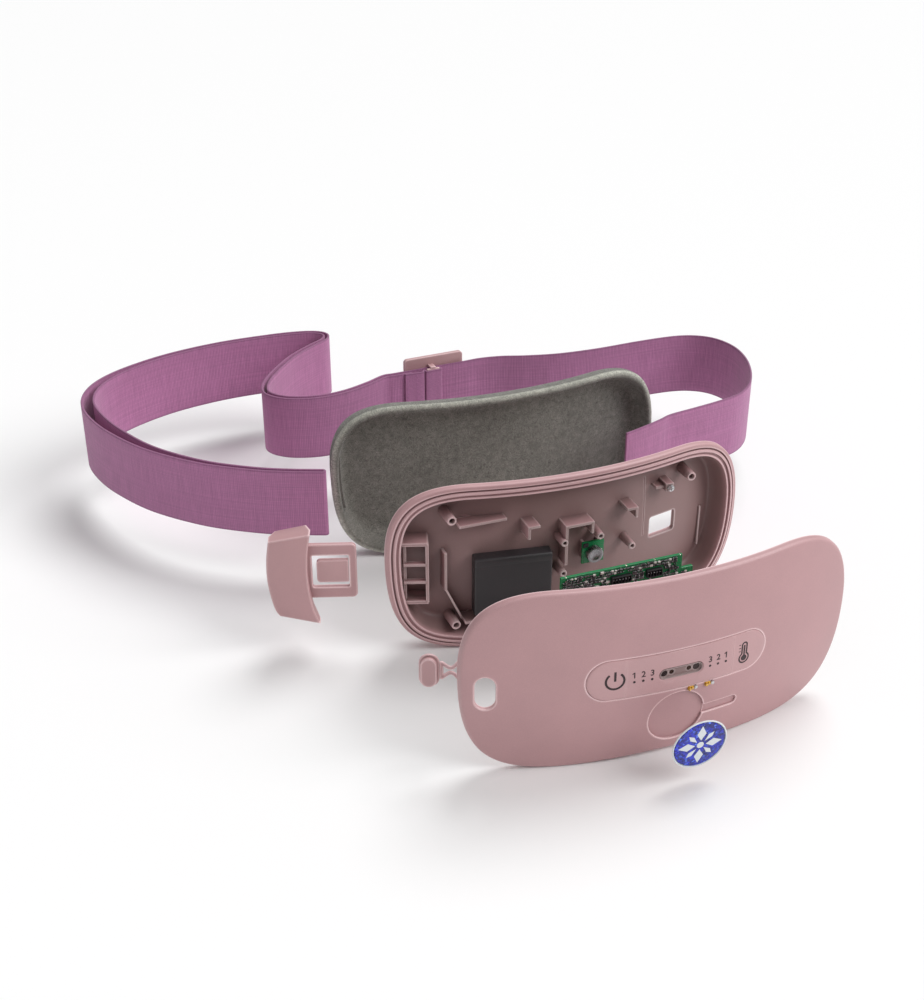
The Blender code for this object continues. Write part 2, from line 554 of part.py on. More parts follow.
def build_cover(holder):
    """Front cover with its pockets, button slot and press pins, then what is set in it."""
    lip = -COVER_SKIRT - FIT_GAP
    inner = lip + COVER_FACE
    wall = COVER_SKIRT_WALL
    profile = (
        (4.5 * MM, lip - 0.25 * MM), (1.6 * MM, lip), (0.5 * MM, lip + 0.3 * MM), (0.0, lip + 1.0 * MM),
        (0.0, -FIT_GAP - 0.3 * MM), (0.3 * MM, -FIT_GAP), (wall, -FIT_GAP), (wall, inner + 0.6 * MM),
        (wall + 1.2 * MM, inner),
    )
    cover = loft_shell("front_cover", profile, "pink")
    put(cover, holder)
    face = lip - 0.25 * MM
    add = group("cover_pins")
    for k, (px, pz) in enumerate(CORNER_POSTS):
        x, z = px * MM, pz * MM
        y = surface_y(x, z)
        put(prism(f"pin_{k}", circle_points(x, z, PIN_RADIUS, 10), y + inner - 0.7 * MM, y + POST_TIP + 3 * MM,
                  None, add), holder)
    cut = group("cover_cuts")
    half = PANEL_LENGTH / 2 + FIT_GAP
    tall = PANEL_HEIGHT / 2 + FIT_GAP
    put(curved_slab("panel_pocket", pill_points(-half, half, PANEL_Z - tall, PANEL_Z + tall, 12),
                    face - 6 * MM, face + POCKET_DEPTH, None, cut), holder)
    for side, name in ((-1, "power_way"), (1, "heat_way")):
        x = side * 33.0 * MM
        put(prism(name, circle_points(x, 3.5 * MM, KEY_STEM + 0.4 * MM, 16), surface_y(x, 0) + face,
                  surface_y(x, 0) + inner + 3 * MM, None, cut), holder)
    put(prism("port_way", pill_points(-PORT_LENGTH / 2, PORT_LENGTH / 2, PANEL_Z - 1.0 * MM - PORT_HEIGHT / 2,
                                      PANEL_Z - 1.0 * MM + PORT_HEIGHT / 2), face - 2 * MM, inner + 2 * MM, None, cut),
        holder)
    put(curved_slab("badge_pocket", circle_points(0.0, BADGE_Z, BADGE_RADIUS + FIT_GAP, 28), face - 6 * MM,
                    face + BADGE_POCKET, None, cut), holder)
    t = THUMB_HEIGHT / 2
    put(curved_slab("thumb_pocket", pill_points(9 * MM, THUMB_END, BADGE_Z - t, BADGE_Z + t), face - 6 * MM,
                    face + 0.9 * MM, None, cut), holder)
    yaw = tangent_yaw(SLOT_X)
    put(prism("button_way", pill_points(-SLOT_WIDTH / 2, SLOT_WIDTH / 2, -SLOT_HEIGHT / 2, SLOT_HEIGHT / 2, 12),
              -8 * MM, 4 * MM, None, cut), holder, (SLOT_X, surface_y(SLOT_X, 0) + face, 0.0), yaw)
    boolean(cover, add, "UNION")
    boolean(cover, cut, "DIFFERENCE")

    front = face - 0.05 * MM
    panel = curved_slab("control_panel", pill_points(-PANEL_LENGTH / 2, PANEL_LENGTH / 2,
                                                     PANEL_Z - PANEL_HEIGHT / 2, PANEL_Z + PANEL_HEIGHT / 2, 12),
                        front, front + PANEL_THICK, "pink_light")
    put(panel, holder)
    gaps = group("panel_cuts")
    for side in (-1, 1):
        put(prism(f"key_gap_{side + 1}", key_points(side, FIT_GAP), face - 6 * MM, face + 12 * MM, None, gaps), holder)
    port_z = PANEL_Z - 1.0 * MM
    put(prism("port_gap", pill_points(-PORT_LENGTH / 2, PORT_LENGTH / 2, port_z - PORT_HEIGHT / 2,
                                      port_z + PORT_HEIGHT / 2), face - 3 * MM, face + 4 * MM, None, gaps), holder)
    boolean(panel, gaps, "DIFFERENCE")
    pl, ph = PORT_LENGTH / 2 - FIT_GAP, PORT_HEIGHT / 2 - FIT_GAP
    port_face = front + 0.9 * MM
    port = prism("charge_port", pill_points(-pl, pl, port_z - ph, port_z + ph), port_face, port_face + PORT_DEPTH, "pink")
    put(port, holder)
    wells = group("contact_wells")
    for name, x, r, color in (("charge_magnet_left", -8.0, 1.5, "silver"), ("charge_pin_left", -4.4, 1.0, "brass"),
                              ("charge_pin_right", 4.0, 1.0, "brass"), ("charge_magnet_right", 7.6, 1.5, "silver")):
        put(prism(f"{name}_well", circle_points(x * MM, port_z, r * MM + FIT_GAP / 2, 16), port_face - MM,
                  port_face + CONTACT_LENGTH + FIT_GAP, None, wells), holder)
        put(prism(name, circle_points(x * MM, port_z, r * MM, 16), port_face + CONTACT_SINK,
                  port_face + CONTACT_LENGTH, color), holder)
    boolean(port, wells, "DIFFERENCE")
    for name, x in (("badge_clip_left", 6.0), ("badge_clip_right", 14.5)):
        y = surface_y(x * MM, -8.6 * MM) + face
        put(block(name, (x - 1.0) * MM, (x + 1.0) * MM, y - 0.75 * MM, y - 0.05 * MM, -9.2 * MM, -7.8 * MM, "brass"),
            holder)


def build_keys(cover):
    """Power and heat keys: a cap in the panel and a stem through the cover."""
    face = -COVER_SKIRT - FIT_GAP - 0.3 * MM
    for side, name in ((-1, "power"), (1, "heat")):
        x = side * 33.0 * MM
        holder = body(f"{name}_press", (x, surface_y(x, 0) + face, 3.5 * MM), parent=cover)
        cap = curved_slab(f"{name}_key", key_points(side), face, face + 0.75 * MM, "pink_light")
        put(cap, holder)
        stem = group(f"{name}_stem")
        put(prism(f"{name}_pusher", circle_points(x, 3.5 * MM, KEY_STEM, 16), surface_y(x, 0) + face + 0.4 * MM,
                  BOARD_BACK - BOARD_THICK - 0.65 * MM - FIT_GAP - KEY_TRAVEL, None, stem), holder)
        boolean(cap, stem, "UNION")


def build_badge(cover):
    """Loose badge: a white dish with a glitter face set in it."""
    back = -COVER_SKIRT - FIT_GAP - 0.25 * MM + BADGE_POCKET - FIT_GAP
    holder = body("badge_seat_axis", (0.0, surface_y(0.0, BADGE_Z) + back, BADGE_Z), BADGE_OUT, cover)
    dish = curved_slab("badge_dish", circle_points(0.0, BADGE_Z, BADGE_RADIUS, 28), back - BADGE_THICK, back, "white")
    put(dish, holder)
    well = group("badge_well")
    put(curved_slab("well", circle_points(0.0, BADGE_Z, BADGE_RADIUS - 1.3 * MM, 28), back - BADGE_THICK - MM,
                    back - 0.9 * MM, None, well), holder)
    boolean(dish, well, "DIFFERENCE")
    put(curved_slab("badge_face", circle_points(0.0, BADGE_Z, BADGE_RADIUS - 1.6 * MM, 28),
                    back - BADGE_THICK + 0.1 * MM, back - 1.2 * MM, "blue"), holder)


def build_release(cover):
    """Release spring with bow legs, and the paddle that it carries."""
    yaw = tangent_yaw(SLOT_X)
    face = surface_y(SLOT_X, 0) - COVER_SKIRT - FIT_GAP
    place = (SLOT_X, face, 0.0)
    holder = body("release_seat_axis", place, RELEASE_OUT, cover)
    thick = (COVER_FACE + 1.7 * MM, COVER_FACE + 2.8 * MM)
    w, h = SLOT_WIDTH / 2 - FIT_GAP, SLOT_HEIGHT / 2 - FIT_GAP
    start = w + 1.8 * MM

    def leg(s):
        inner = [(start, s * 3.4 * MM), (start + 5 * MM, s * 2.2 * MM), (start + 10 * MM, s * 2.4 * MM),
                 (start + 15 * MM, s * 5.6 * MM)]
        outer = [(start + 16.2 * MM, s * 7.6 * MM), (start + 14.4 * MM, s * 7.6 * MM), (start + 9.6 * MM, s * 4.0 * MM),
                 (start + 5 * MM, s * 3.7 * MM), (start, s * 5.4 * MM)]
        return inner + outer
    spring = prism("release_spring", [(start - 1.2 * MM, -6 * MM), (start + 0.4 * MM, -6 * MM),
                                      (start + 0.4 * MM, 6 * MM), (start - 1.2 * MM, 6 * MM)], *thick, "pink")
    put(spring, holder, place, yaw)
    legs = group("release_legs")
    for s, name in ((1, "upper"), (-1, "lower")):
        put(prism(f"leg_{name}", leg(s), *thick, None, legs), holder, place, yaw)
    put(block("anchor", start + 14.6 * MM, start + 16.4 * MM, *thick, -7.8 * MM, 7.8 * MM, None, legs),
        holder, place, yaw)
    boolean(spring, legs, "UNION")
    press = body("release_press_axis", place, parent=holder)
    top = PADDLE_SIDE_GAP
    paddle = prism("release_button", pill_points(-w + top, w - top, -h + top, h - top, 12), PADDLE_SINK, thick[1],
                   "pink_light")
    put(paddle, press, place, yaw)
    flange = group("paddle_flange")
    put(prism("flange", pill_points(-w + 0.5 * top, w + 0.35 * MM, -h - 0.8 * MM, h + 0.8 * MM, 12), *thick, None,
              flange), press, place, yaw)
    boolean(paddle, flange, "UNION")


def shield_points(inset=0.0):
    """Outline of the buckle shield beside the pod end."""
    right = [(4.0, -25.2), (1.4, -18.0), (-0.3, -9.0), (-1.0, 0.0), (-0.7, 9.0), (0.2, 17.0), (1.2, 22.8)]
    left = [(-18.8, 19.6), (-20.2, 10.0), (-20.5, 0.0), (-19.5, -9.0), (-17.6, -17.0), (-15.6, -20.6)]
    points = [(x * MM, z * MM) for x, z in right + left]
    cx = -9.0 * MM
    keep_x = 1.0 - inset / (9.6 * MM)
    keep_z = 1.0 - inset / (24.6 * MM)
    return [(cx + (x - cx) * keep_x, z * keep_z) for x, z in points]


def build_buckle(holder):
    """Buckle: shield and tongue in one, the strap bar and the snap tab."""
    front = -SHIELD_DEPTH / 2
    shield = prism("buckle", shield_points(), front, -front, "pink")
    put(shield, holder, TONGUE_ROOT, -TONGUE_YAW)
    add = group("buckle_tongue")
    half = TONGUE_THICK / 2
    put(block("tongue", -4 * MM, TONGUE_LENGTH, -half, half, -TONGUE_HEIGHT / 2, TONGUE_HEIGHT / 2, None, add,
              bevel=0.6 * MM), holder, TONGUE_ROOT, -TONGUE_YAW)
    cut = group("buckle_cuts")
    put(prism("strap_room", [(x, z) for x, z in shield_points(2.6 * MM)], front + 3 * MM, -front + 3 * MM, None, cut),
        holder, TONGUE_ROOT, -TONGUE_YAW)
    put(block("strap_mouth", -24 * MM, -10 * MM, front + 4 * MM, -front + 3 * MM, -STRAP_WIDTH / 2 + 3 * MM,
              STRAP_WIDTH / 2 - 3 * MM, None, cut), holder, TONGUE_ROOT, -TONGUE_YAW)
    boolean(shield, cut, "DIFFERENCE")
    boolean(shield, add, "UNION")
    gap = group("tongue_gap")
    put(block("tab_gap", TAB_ROOT - TAB_LENGTH - TAB_SLOT, TAB_ROOT + FIT_GAP, -half - MM, half + MM,
              -TAB_HEIGHT / 2 - TAB_SLOT, TAB_HEIGHT / 2 + TAB_SLOT, None, gap), holder, TONGUE_ROOT, -TONGUE_YAW)
    put(rod("bar_hole", BAR_RADIUS + FIT_GAP, BAR_LENGTH + 2 * FIT_GAP, None, gap), holder,
        along_buckle(-9.5 * MM, 3.4 * MM), -TONGUE_YAW)
    boolean(shield, gap, "DIFFERENCE")
    yaw = -TONGUE_YAW
    put(rod("strap_bar", BAR_RADIUS, BAR_LENGTH, "silver"), holder, along_buckle(-9.5 * MM, 3.4 * MM), yaw)
    flex = body("snap_flex_axis", along_buckle(TAB_ROOT, 0.0), parent=holder)
    put(prism("snap_tab", tab_points(), -half, half, "pink_light"), flex, TONGUE_ROOT, yaw)


def tab_points():
    """Snap tab outline: square at its root near the tip, rounded at its free end by the shield."""
    free = TAB_ROOT - TAB_LENGTH + TAB_CORNER
    side = TAB_HEIGHT / 2 - TAB_CORNER
    points = [(TAB_ROOT, -TAB_HEIGHT / 2), (TAB_ROOT, TAB_HEIGHT / 2)]
    for corner, start in ((side, 90), (-side, 180)):
        for k in range(5):
            a = math.radians(start + 22.5 * k)
            points.append((free + TAB_CORNER * math.cos(a), corner + TAB_CORNER * math.sin(a)))
    return points


def along_buckle(u, v):
    """A closed-pod place from buckle lengths along and across the tongue."""
    c, s = math.cos(TONGUE_YAW), math.sin(TONGUE_YAW)
    return (TONGUE_ROOT[0] + u * c + v * s, TONGUE_ROOT[1] - u * s + v * c, TONGUE_ROOT[2])


# Plan route of the strap in the closed pod, buckle end first
STRAP_LEFT = (
    (-103.0, 42.5), (-120.0, 49.5), (-137.0, 58.3), (-160.0, 75.0), (-182.0, 100.0), (-196.0, 127.0), (-203.0, 149.0),
    (-205.0, 168.0), (-201.0, 184.0), (-191.0, 198.0), (-174.0, 210.0), (-148.0, 221.0), (-116.0, 227.5),
    (-84.0, 228.5), (-66.0, 227.0), (-55.0, 223.4), (-51.0, 217.6), (-54.5, 210.8), (-66.0, 203.0), (-81.0, 190.5),
    (-97.0, 171.0), (-105.0, 156.5), (-105.5, 145.0), (-96.0, 135.5), (-80.0, 131.0), (-64.0, 132.5), (-48.0, 138.5),
)
STRAP_RIGHT = (
    (40.0, 147.0), (56.0, 142.6), (76.0, 139.6), (100.0, 138.6), (129.0, 139.2), (152.0, 138.4), (166.0, 134.0),
    (175.0, 125.0), (179.0, 110.0), (176.5, 92.0), (169.0, 73.0), (159.0, 57.0), (147.0, 46.5), (131.0, 41.2), (114.0, 38.6),
)


def slider_spot(u):
    """A point on the straight stretch that the adjuster runs on."""
    return (SLIDER_PLACE[0] + u * math.cos(SLIDER_YAW), SLIDER_PLACE[1] + u * math.sin(SLIDER_YAW))


def smooth_route(points):
    """Dense points of a smooth curve through a route."""
    out = []
    n = len(points)
    for i in range(n - 1):
        p0 = Vector(points[max(0, i - 1)])
        p1, p2 = Vector(points[i]), Vector(points[i + 1])
        p3 = Vector(points[min(n - 1, i + 2)])
        turn = (p2 - p0).angle(p3 - p1, 0.0) if (p2 - p0).length and (p3 - p1).length else 0.0
        steps = max(1, math.ceil(turn / math.radians(13.0)))
        for k in range(steps):
            t = k / steps
            a = 2 * p1 + (p2 - p0) * t + (2 * p0 - 5 * p1 + 4 * p2 - p3) * t * t
            out.append((a + (3 * p1 - p0 - 3 * p2 + p3) * t ** 3) * 0.5)
    out.append(Vector(points[-1]))
    return out


def side_step(route, amounts):
    """Move each point of a route sideways, to its left, by its amount."""
    moved = []
    for i, p in enumerate(route):
        a = route[max(0, i - 1)]
        b = route[min(len(route) - 1, i + 1)]
        along = (b - a).normalized()
        moved.append(p + Vector((-along.y, along.x)) * amounts[i])
    return moved


def strap_route():
    """Middle line of the webbing: back layer to the buckle loop, front layer, then the single tail."""
    run = [Vector(p) * MM for p in STRAP_LEFT]
    run += [Vector(slider_spot(u * MM)) for u in (-31, -28, -24, -12)]
    lap = smooth_route([tuple(p) for p in run])
    ends = len(lap) - 1
    bulge = [STRAP_LAP + STRAP_BULGE * math.exp(-((p - Vector((-203 * MM, 150 * MM))).length / (60 * MM)) ** 2)
             for p in lap]
    front = side_step(lap, bulge)
    back = side_step(lap, [-b for b in bulge])
    first, along = lap[0], (lap[0] - lap[1]).normalized()
    across = Vector((-along.y, along.x))
    turn = [first + across * bulge[0] * math.cos(a) + along * bulge[0] * math.sin(a)
            for a in (math.pi / 4, math.pi / 2, 3 * math.pi / 4)]
    seat = CASE_DEPTH - STRAP_SEAT_DEPTH + surface_y(0.0, STRAP_WIDTH / 2) + 1.4 * FIT_GAP + STRAP_THICK / 2
    tail = [(x * MM, surface_y(x * MM, 0.0) + seat) for x in (98, 90, 82, 73, 64)]
    shift = Vector((-math.sin(SLIDER_YAW), math.cos(SLIDER_YAW))) * STRAP_LAP
    single = [Vector(slider_spot(u * MM)) + shift for u in (-12, 8, 24, 28, 31)]
    single += [Vector(p) * MM for p in STRAP_RIGHT] + [Vector(p) for p in tail]
    rest = smooth_route([tuple(p) for p in single])
    return list(reversed(back[:ends + 1])) + turn + front[:ends] + rest


def ribbon(name, route, thick, wide, color, middle=0.0):
    """Webbing on its edge: a flat plan outline extruded to the strap's width."""
    left = side_step(route, [thick / 2] * len(route))
    right = side_step(route, [-thick / 2] * len(route))
    bm = bmesh.new()
    low = [[bm.verts.new((p.x, p.y, middle - wide / 2)) for p in edge] for edge in (left, right)]
    high = [[bm.verts.new((p.x, p.y, middle + wide / 2)) for p in edge] for edge in (left, right)]
    skin_open = ((low[0], high[0]), (high[0], high[1]), (high[1], low[1]), (low[1], low[0]))
    for a, b in skin_open:
        for i in range(len(a) - 1):
            bm.faces.new((a[i], a[i + 1], b[i + 1], b[i]))
    for k in (0, -1):
        bm.faces.new((low[0][k], high[0][k], high[1][k], low[1][k]))
    return from_bmesh(name, bm, color)


def build_strap(holder):
    """Strap, then the adjuster frame and the loop sewn round its middle bar."""
    put(ribbon("strap", strap_route(), STRAP_THICK, STRAP_WIDTH, "purple"), holder)
    shift = STRAP_LAP
    place = (SLIDER_PLACE[0] - math.sin(SLIDER_YAW) * shift, SLIDER_PLACE[1] + math.cos(SLIDER_YAW) * shift, 0.0)
    run = body("adjuster_axis", place, parent=holder)
    long, tall, rail = SLIDER_LENGTH / 2, SLIDER_HEIGHT / 2, SLIDER_RAIL
    behind = STRAP_THICK / 2 + 0.6 * MM
    frame = block("adjuster", -long, long, behind, behind + 2.6 * MM, -tall, tall, "pink_light", bevel=0.6 * MM)
    put(frame, run, place, SLIDER_YAW)
    cut = group("adjuster_cuts")
    put(block("adjuster_window", -long + rail, long - rail, -9 * MM, 9 * MM, -tall + 5 * MM, tall - 5 * MM, None, cut),
        run, place, SLIDER_YAW)
    add = group("adjuster_bar")
    near = -STRAP_THICK / 2 - 4.8 * MM
    for s, name in ((1, "top"), (-1, "low")):
        z0, z1 = sorted((s * (STRAP_WIDTH / 2 + 1.2 * MM), s * (tall - 0.6 * MM)))
        put(block(f"bar_{name}", -3 * MM, 3 * MM, near, behind + 1.4 * MM, z0, z1, None, add), run, place, SLIDER_YAW)
    put(block("bar_middle", -3 * MM, 3 * MM, near, near + 2.6 * MM, -tall + MM, tall - MM, None, add),
        run, place, SLIDER_YAW)
    boolean(frame, cut, "DIFFERENCE")
    boolean(frame, add, "UNION")
    gap, cloth = FIT_GAP, 1.0 * MM
    u = 3 * MM + gap + cloth / 2
    v0, v1 = near - gap - cloth / 2, near + 2.6 * MM + gap + cloth / 2
    loop = [(-1.6 * MM, v1), (u - 0.5 * MM, v1), (u, v1 - 0.5 * MM), (u, v0 + 0.5 * MM), (u - 0.5 * MM, v0),
            (-u + 0.4 * MM, v0), (-u - 1.2 * MM, v0 + 0.3 * MM), (-12 * MM, v0 + 0.9 * MM), (-21 * MM, v0 + 0.9 * MM)]
    sewn = ribbon("sewn_loop", [Vector(p) for p in loop], cloth, STRAP_WIDTH, "purple")
    put(sewn, run, place, SLIDER_YAW)


def build_pad(holder):
    """Rear pad: a soft dish over the back of the housing, notched for the strap and slotted for the tongue."""
    step = PAD_THICK
    deep = CASE_DEPTH + PAD_BACK_GAP
    start = BAND_DEPTH + FIT_GAP
    profile = (
        (14.4 * MM, deep + step), (9.0 * MM, deep + step - 0.9 * MM), (4.8 * MM, deep - 0.2 * MM),
        (1.9 * MM, 0.74 * deep), (0.4 * MM, 0.48 * deep), (0.0, start + 1.4 * MM), (0.5 * MM, start + 0.3 * MM),
        (1.2 * MM, start), (step - 0.8 * MM, start), (step - 0.1 * MM, start + 0.5 * MM),
        (5.4 * MM, 0.55 * CASE_DEPTH), (7.5 * MM, CASE_DEPTH - 2.7 * MM), (10.2 * MM, CASE_DEPTH + 0.1 * MM),
        (14.6 * MM, deep),
    )
    pad = loft_shell("rear_pad", profile, "felt")
    put(pad, holder)
    cut = group("pad_cuts")
    half = STRAP_WIDTH / 2 + 0.9 * MM
    far = surface_y(98 * MM, 0) + CASE_DEPTH + 2.0 * MM
    put(block("strap_notch", 79 * MM, 110 * MM, -MM, far, -half, half, None, cut), holder)
    slot = TONGUE_THICK / 2 + 0.9 * MM
    put(block("tongue_slot", -20 * MM, 24 * MM, -slot, slot + TAB_FLEX_ROOM - 0.7 * MM, -TONGUE_HEIGHT / 2 - 0.9 * MM,
              TONGUE_HEIGHT / 2 + 0.9 * MM, None, cut), holder, TONGUE_ROOT, -TONGUE_YAW)
    boolean(pad, cut, "DIFFERENCE")


def stand_on_floor():
    """Move the whole layout so that its box stands on the floor, centred on the origin."""
    bpy.context.view_layer.update()
    graph = bpy.context.evaluated_depsgraph_get()
    spots = []
    for thing in bpy.context.scene.objects:
        if thing.type != "MESH" or thing.hide_render:
            continue
        ready = thing.evaluated_get(graph)
        spots.extend(ready.matrix_world @ Vector(corner) for corner in ready.bound_box)
    low = [min(p[i] for p in spots) for i in range(3)]
    high = [max(p[i] for p in spots) for i in range(3)]
    ORIGIN.location = (-(low[0] + high[0]) / 2, -(low[1] + high[1]) / 2, -low[2])
    bpy.context.view_layer.update()


def main():
    """Build every group, then stand the layout on the floor."""
    global ORIGIN
    clear_scene()
    ORIGIN = bpy.data.objects.new("row_origin", None)
    bpy.context.scene.collection.objects.link(ORIGIN)
    housing = body("housing_body")
    build_housing(housing)
    build_inside(housing)
    build_board(body("board_body", out=BOARD_OUT))
    cover = body("cover_body", out=COVER_OUT)
    build_cover(cover)
    build_keys(cover)
    build_badge(cover)
    build_release(cover)
    pull = (-BUCKLE_PULL * math.cos(TONGUE_YAW), BUCKLE_PULL * math.sin(TONGUE_YAW), 0.0)
    build_buckle(body("buckle_body", TONGUE_ROOT, pull))
    build_strap(body("strap_body", out=STRAP_OUT))
    build_pad(body("pad_body", out=PAD_OUT))
    stand_on_floor()


main()
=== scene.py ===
"""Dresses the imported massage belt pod: fine shells, prints, circuit parts, webbing, felt, stage and camera.

Pieces are modelled in millimetres where they sit in the closed pod. Each is then carried out to its place in
the laid-out row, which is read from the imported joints.
"""
import json
import math
import random

import bmesh
import bpy
from mathutils import Matrix, Vector


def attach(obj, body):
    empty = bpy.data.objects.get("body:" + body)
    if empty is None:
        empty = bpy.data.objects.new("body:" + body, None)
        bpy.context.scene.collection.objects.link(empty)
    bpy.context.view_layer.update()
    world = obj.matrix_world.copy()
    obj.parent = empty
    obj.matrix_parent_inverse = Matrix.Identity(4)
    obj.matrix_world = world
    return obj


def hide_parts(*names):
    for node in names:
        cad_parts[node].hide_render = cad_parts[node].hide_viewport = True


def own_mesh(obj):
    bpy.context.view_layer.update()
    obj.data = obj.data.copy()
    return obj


bl_info = {
    "name": "Massage belt pod",
    "version": (1, 0, 0),
    "blender": (4, 5, 0),
    "location": "View3D > Sidebar > Belt pod",
    "description": "Builds the dressed pieces of a heated massage belt around its packed solids",
    "category": "Object",
}

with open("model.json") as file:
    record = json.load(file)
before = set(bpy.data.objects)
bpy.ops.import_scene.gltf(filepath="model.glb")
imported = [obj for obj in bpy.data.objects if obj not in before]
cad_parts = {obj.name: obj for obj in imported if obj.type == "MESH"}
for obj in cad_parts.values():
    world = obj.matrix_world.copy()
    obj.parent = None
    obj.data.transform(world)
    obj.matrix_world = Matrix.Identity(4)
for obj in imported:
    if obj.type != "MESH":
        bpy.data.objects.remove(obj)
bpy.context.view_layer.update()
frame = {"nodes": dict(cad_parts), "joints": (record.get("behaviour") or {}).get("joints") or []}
MM = 0.001
JOINTS = {joint["name"]: joint for joint in frame["joints"]}
MOTOR_IN_POD = Vector((8.5, 7.1, -1.0)) * MM
POD = Vector(JOINTS["motor_spin"]["pos_m"]) - MOTOR_IN_POD


def way_out(joint):
    """How far a sliding joint's piece stands from its seat at rest."""
    entry = JOINTS[joint]
    return -Vector(entry["axis"]) * entry["range_m"][1]


# How far each body is carried out from its place in the closed pod
OUT = {body: way_out(joint) for body, joint in (
    ("cover", "cover_close"), ("circuit", "board_seat"), ("pad", "pad_close"), ("strap", "strap_seat"),
    ("buckle", "buckle_insert"))}
OUT["housing"] = Vector()
OUT["badge"] = OUT["cover"] + way_out("badge_clip")
OUT["release"] = OUT["cover"] + way_out("release_seat")
for rider, carrier in (("power_button", "cover"), ("heat_button", "cover"), ("release_paddle", "release"),
                       ("snap", "buckle"), ("adjuster", "strap")):
    OUT[rider] = OUT[carrier]


def length(name, default, description):
    """A length property, with its default given in millimetres."""
    return bpy.props.FloatProperty(name=name, description=description, default=default * MM, unit="LENGTH")


def colour(name, default, description):
    """A colour property."""
    return bpy.props.FloatVectorProperty(name=name, description=description, default=default, size=3,
                                         min=0.0, max=1.0, subtype="COLOR")


class PodSizes(bpy.types.PropertyGroup):
    """Sizes of the pod, its controls and its strap."""

    half_width: length("Half width", 95.0, "Half the width of the pod")
    top: length("Top", 46.6, "Height of the pod's top over its middle")
    foot: length("Foot", -43.9, "Height of the pod's feet under its middle")
    foot_arch: length("Foot arch", 1.5, "Rise of the outline between the two feet")
    widest: length("Widest height", 8.0, "Height at which the pod is widest")
    shoulder: length("Shoulder", 54.0, "Half length of the straight top")
    foot_place: length("Foot place", 50.0, "How far each foot is from the middle")
    bow: length("Bow radius", 219.0, "Radius of the bow round the waist")
    crown: length("Crown radius", 226.0, "Radius of the crown from top to foot")
    case_depth: length("Case depth", 17.0, "Depth of the rear housing behind its rim")
    case_wall: length("Case wall", 3.0, "Thickness of the housing's back")
    band: length("Band", 3.5, "Depth of the outer band under the rim")
    rim: length("Rim width", 6.6, "Width of the stepped rim")
    cover_face: length("Cover face", 2.0, "Thickness of the cover's face")
    cover_skirt: length("Cover skirt", 4.0, "Depth of the cover's edge")
    gap: length("Gap", 0.3, "Gap between pieces that meet")
    panel_long: length("Panel length", 87.0, "Length of the control panel")
    panel_tall: length("Panel height", 20.0, "Height of the control panel")
    panel_z: length("Panel place", 3.0, "Height of the panel's middle")
    key_split: length("Key split", 26.0, "Where each key begins")
    port_long: length("Port length", 21.0, "Length of the charging slot")
    port_tall: length("Port height", 5.4, "Height of the charging slot")
    badge: length("Badge radius", 13.2, "Radius of the badge")
    badge_z: length("Badge place", -23.0, "Height of the badge pocket's middle")
    slot_x: length("Slot place", -85.0, "Place of the release slot")
    slot_wide: length("Slot width", 9.0, "Width of the release slot")
    slot_tall: length("Slot height", 16.6, "Height of the release slot")
    pad_thick: length("Pad thickness", 3.7, "Thickness of the felt pad")
    strap_wide: length("Strap width", 38.0, "Width of the webbing")
    strap_thick: length("Strap thickness", 1.2, "Thickness of the webbing")


class PodColours(bpy.types.PropertyGroup):
    """Base colours of the finishes."""

    shell: colour("Shell", (0.520, 0.300, 0.312), "Matte shell plastic")
    inlay: colour("Inlay", (0.560, 0.335, 0.345), "Satin inlay plastic")
    print_ink: colour("Print", (0.030, 0.013, 0.016), "Printed signs")
    webbing: colour("Webbing", (0.490, 0.192, 0.374), "Strap threads")
    felt: colour("Felt", (0.183, 0.177, 0.158), "Pad felt")
    # Felt edge: the felt lightened as a painted highlight along the pad's front rim
    felt_edge: colour("Felt edge", (0.430, 0.432, 0.378), "Cut edge of the pad")
    wrap: colour("Wrap", (0.030, 0.027, 0.030), "Battery wrap")
    mask: colour("Solder mask", (0.006, 0.150, 0.045), "Circuit board")
    steel: colour("Steel", (0.600, 0.600, 0.610), "Bright steel")
    nickel: colour("Nickel", (0.300, 0.300, 0.310), "Motor can")
    brass: colour("Brass", (0.720, 0.470, 0.130), "Contacts")
    epoxy: colour("Epoxy", (0.016, 0.016, 0.018), "Chip bodies")
    ivory: colour("Ivory", (0.620, 0.600, 0.550), "Connectors")
    glitter: colour("Glitter", (0.008, 0.016, 0.330), "Badge face")
    enamel: colour("Enamel", (0.760, 0.800, 0.820), "Badge dish and motif")
    port_shade: colour("Port shade", (0.270, 0.180, 0.173), "Charging slot")
    # The housing is one plastic; this darker colour is painted shade on its inside
    case: colour("Case inside", (0.300, 0.190, 0.186), "Inner side of the housing")
    gunmetal: colour("Gunmetal", (0.060, 0.045, 0.045), "Magnets")
    bronze: colour("Bronze", (0.060, 0.036, 0.030), "Charging pins")
    thread: colour("Thread", (0.520, 0.210, 0.420), "Stitching")
    film: colour("Film", (0.320, 0.130, 0.020), "Heating film")


class Millimetres:
    """Reads the size properties in millimetres."""

    def __init__(self, context):
        self.source = context.scene.pod_sizes

    def __getattr__(self, name):
        return getattr(self.source, name) / MM


# Modelling helpers


def clear_selection():
    """Leave edit mode and select nothing."""
    if bpy.context.object and bpy.context.object.mode != "OBJECT":
        bpy.ops.object.mode_set(mode="OBJECT")
    bpy.ops.object.select_all(action="DESELECT")


def pick(thing):
    """Make one object the active and only selected one."""
    clear_selection()
    thing.select_set(True)
    bpy.context.view_layer.objects.active = thing
    return thing


def edit(thing):
    """Go into edit mode with everything selected."""
    pick(thing)
    bpy.ops.object.mode_set(mode="EDIT")
    bpy.ops.mesh.select_all(action="SELECT")


def face_out(thing):
    """Turn every face of a closed shape outwards."""
    edit(thing)
    bpy.ops.mesh.normals_make_consistent(inside=False)
    bpy.ops.object.mode_set(mode="OBJECT")
    return thing


def key_of(point):
    """A point as a key that survives an extrude."""
    return tuple(Vector(point))


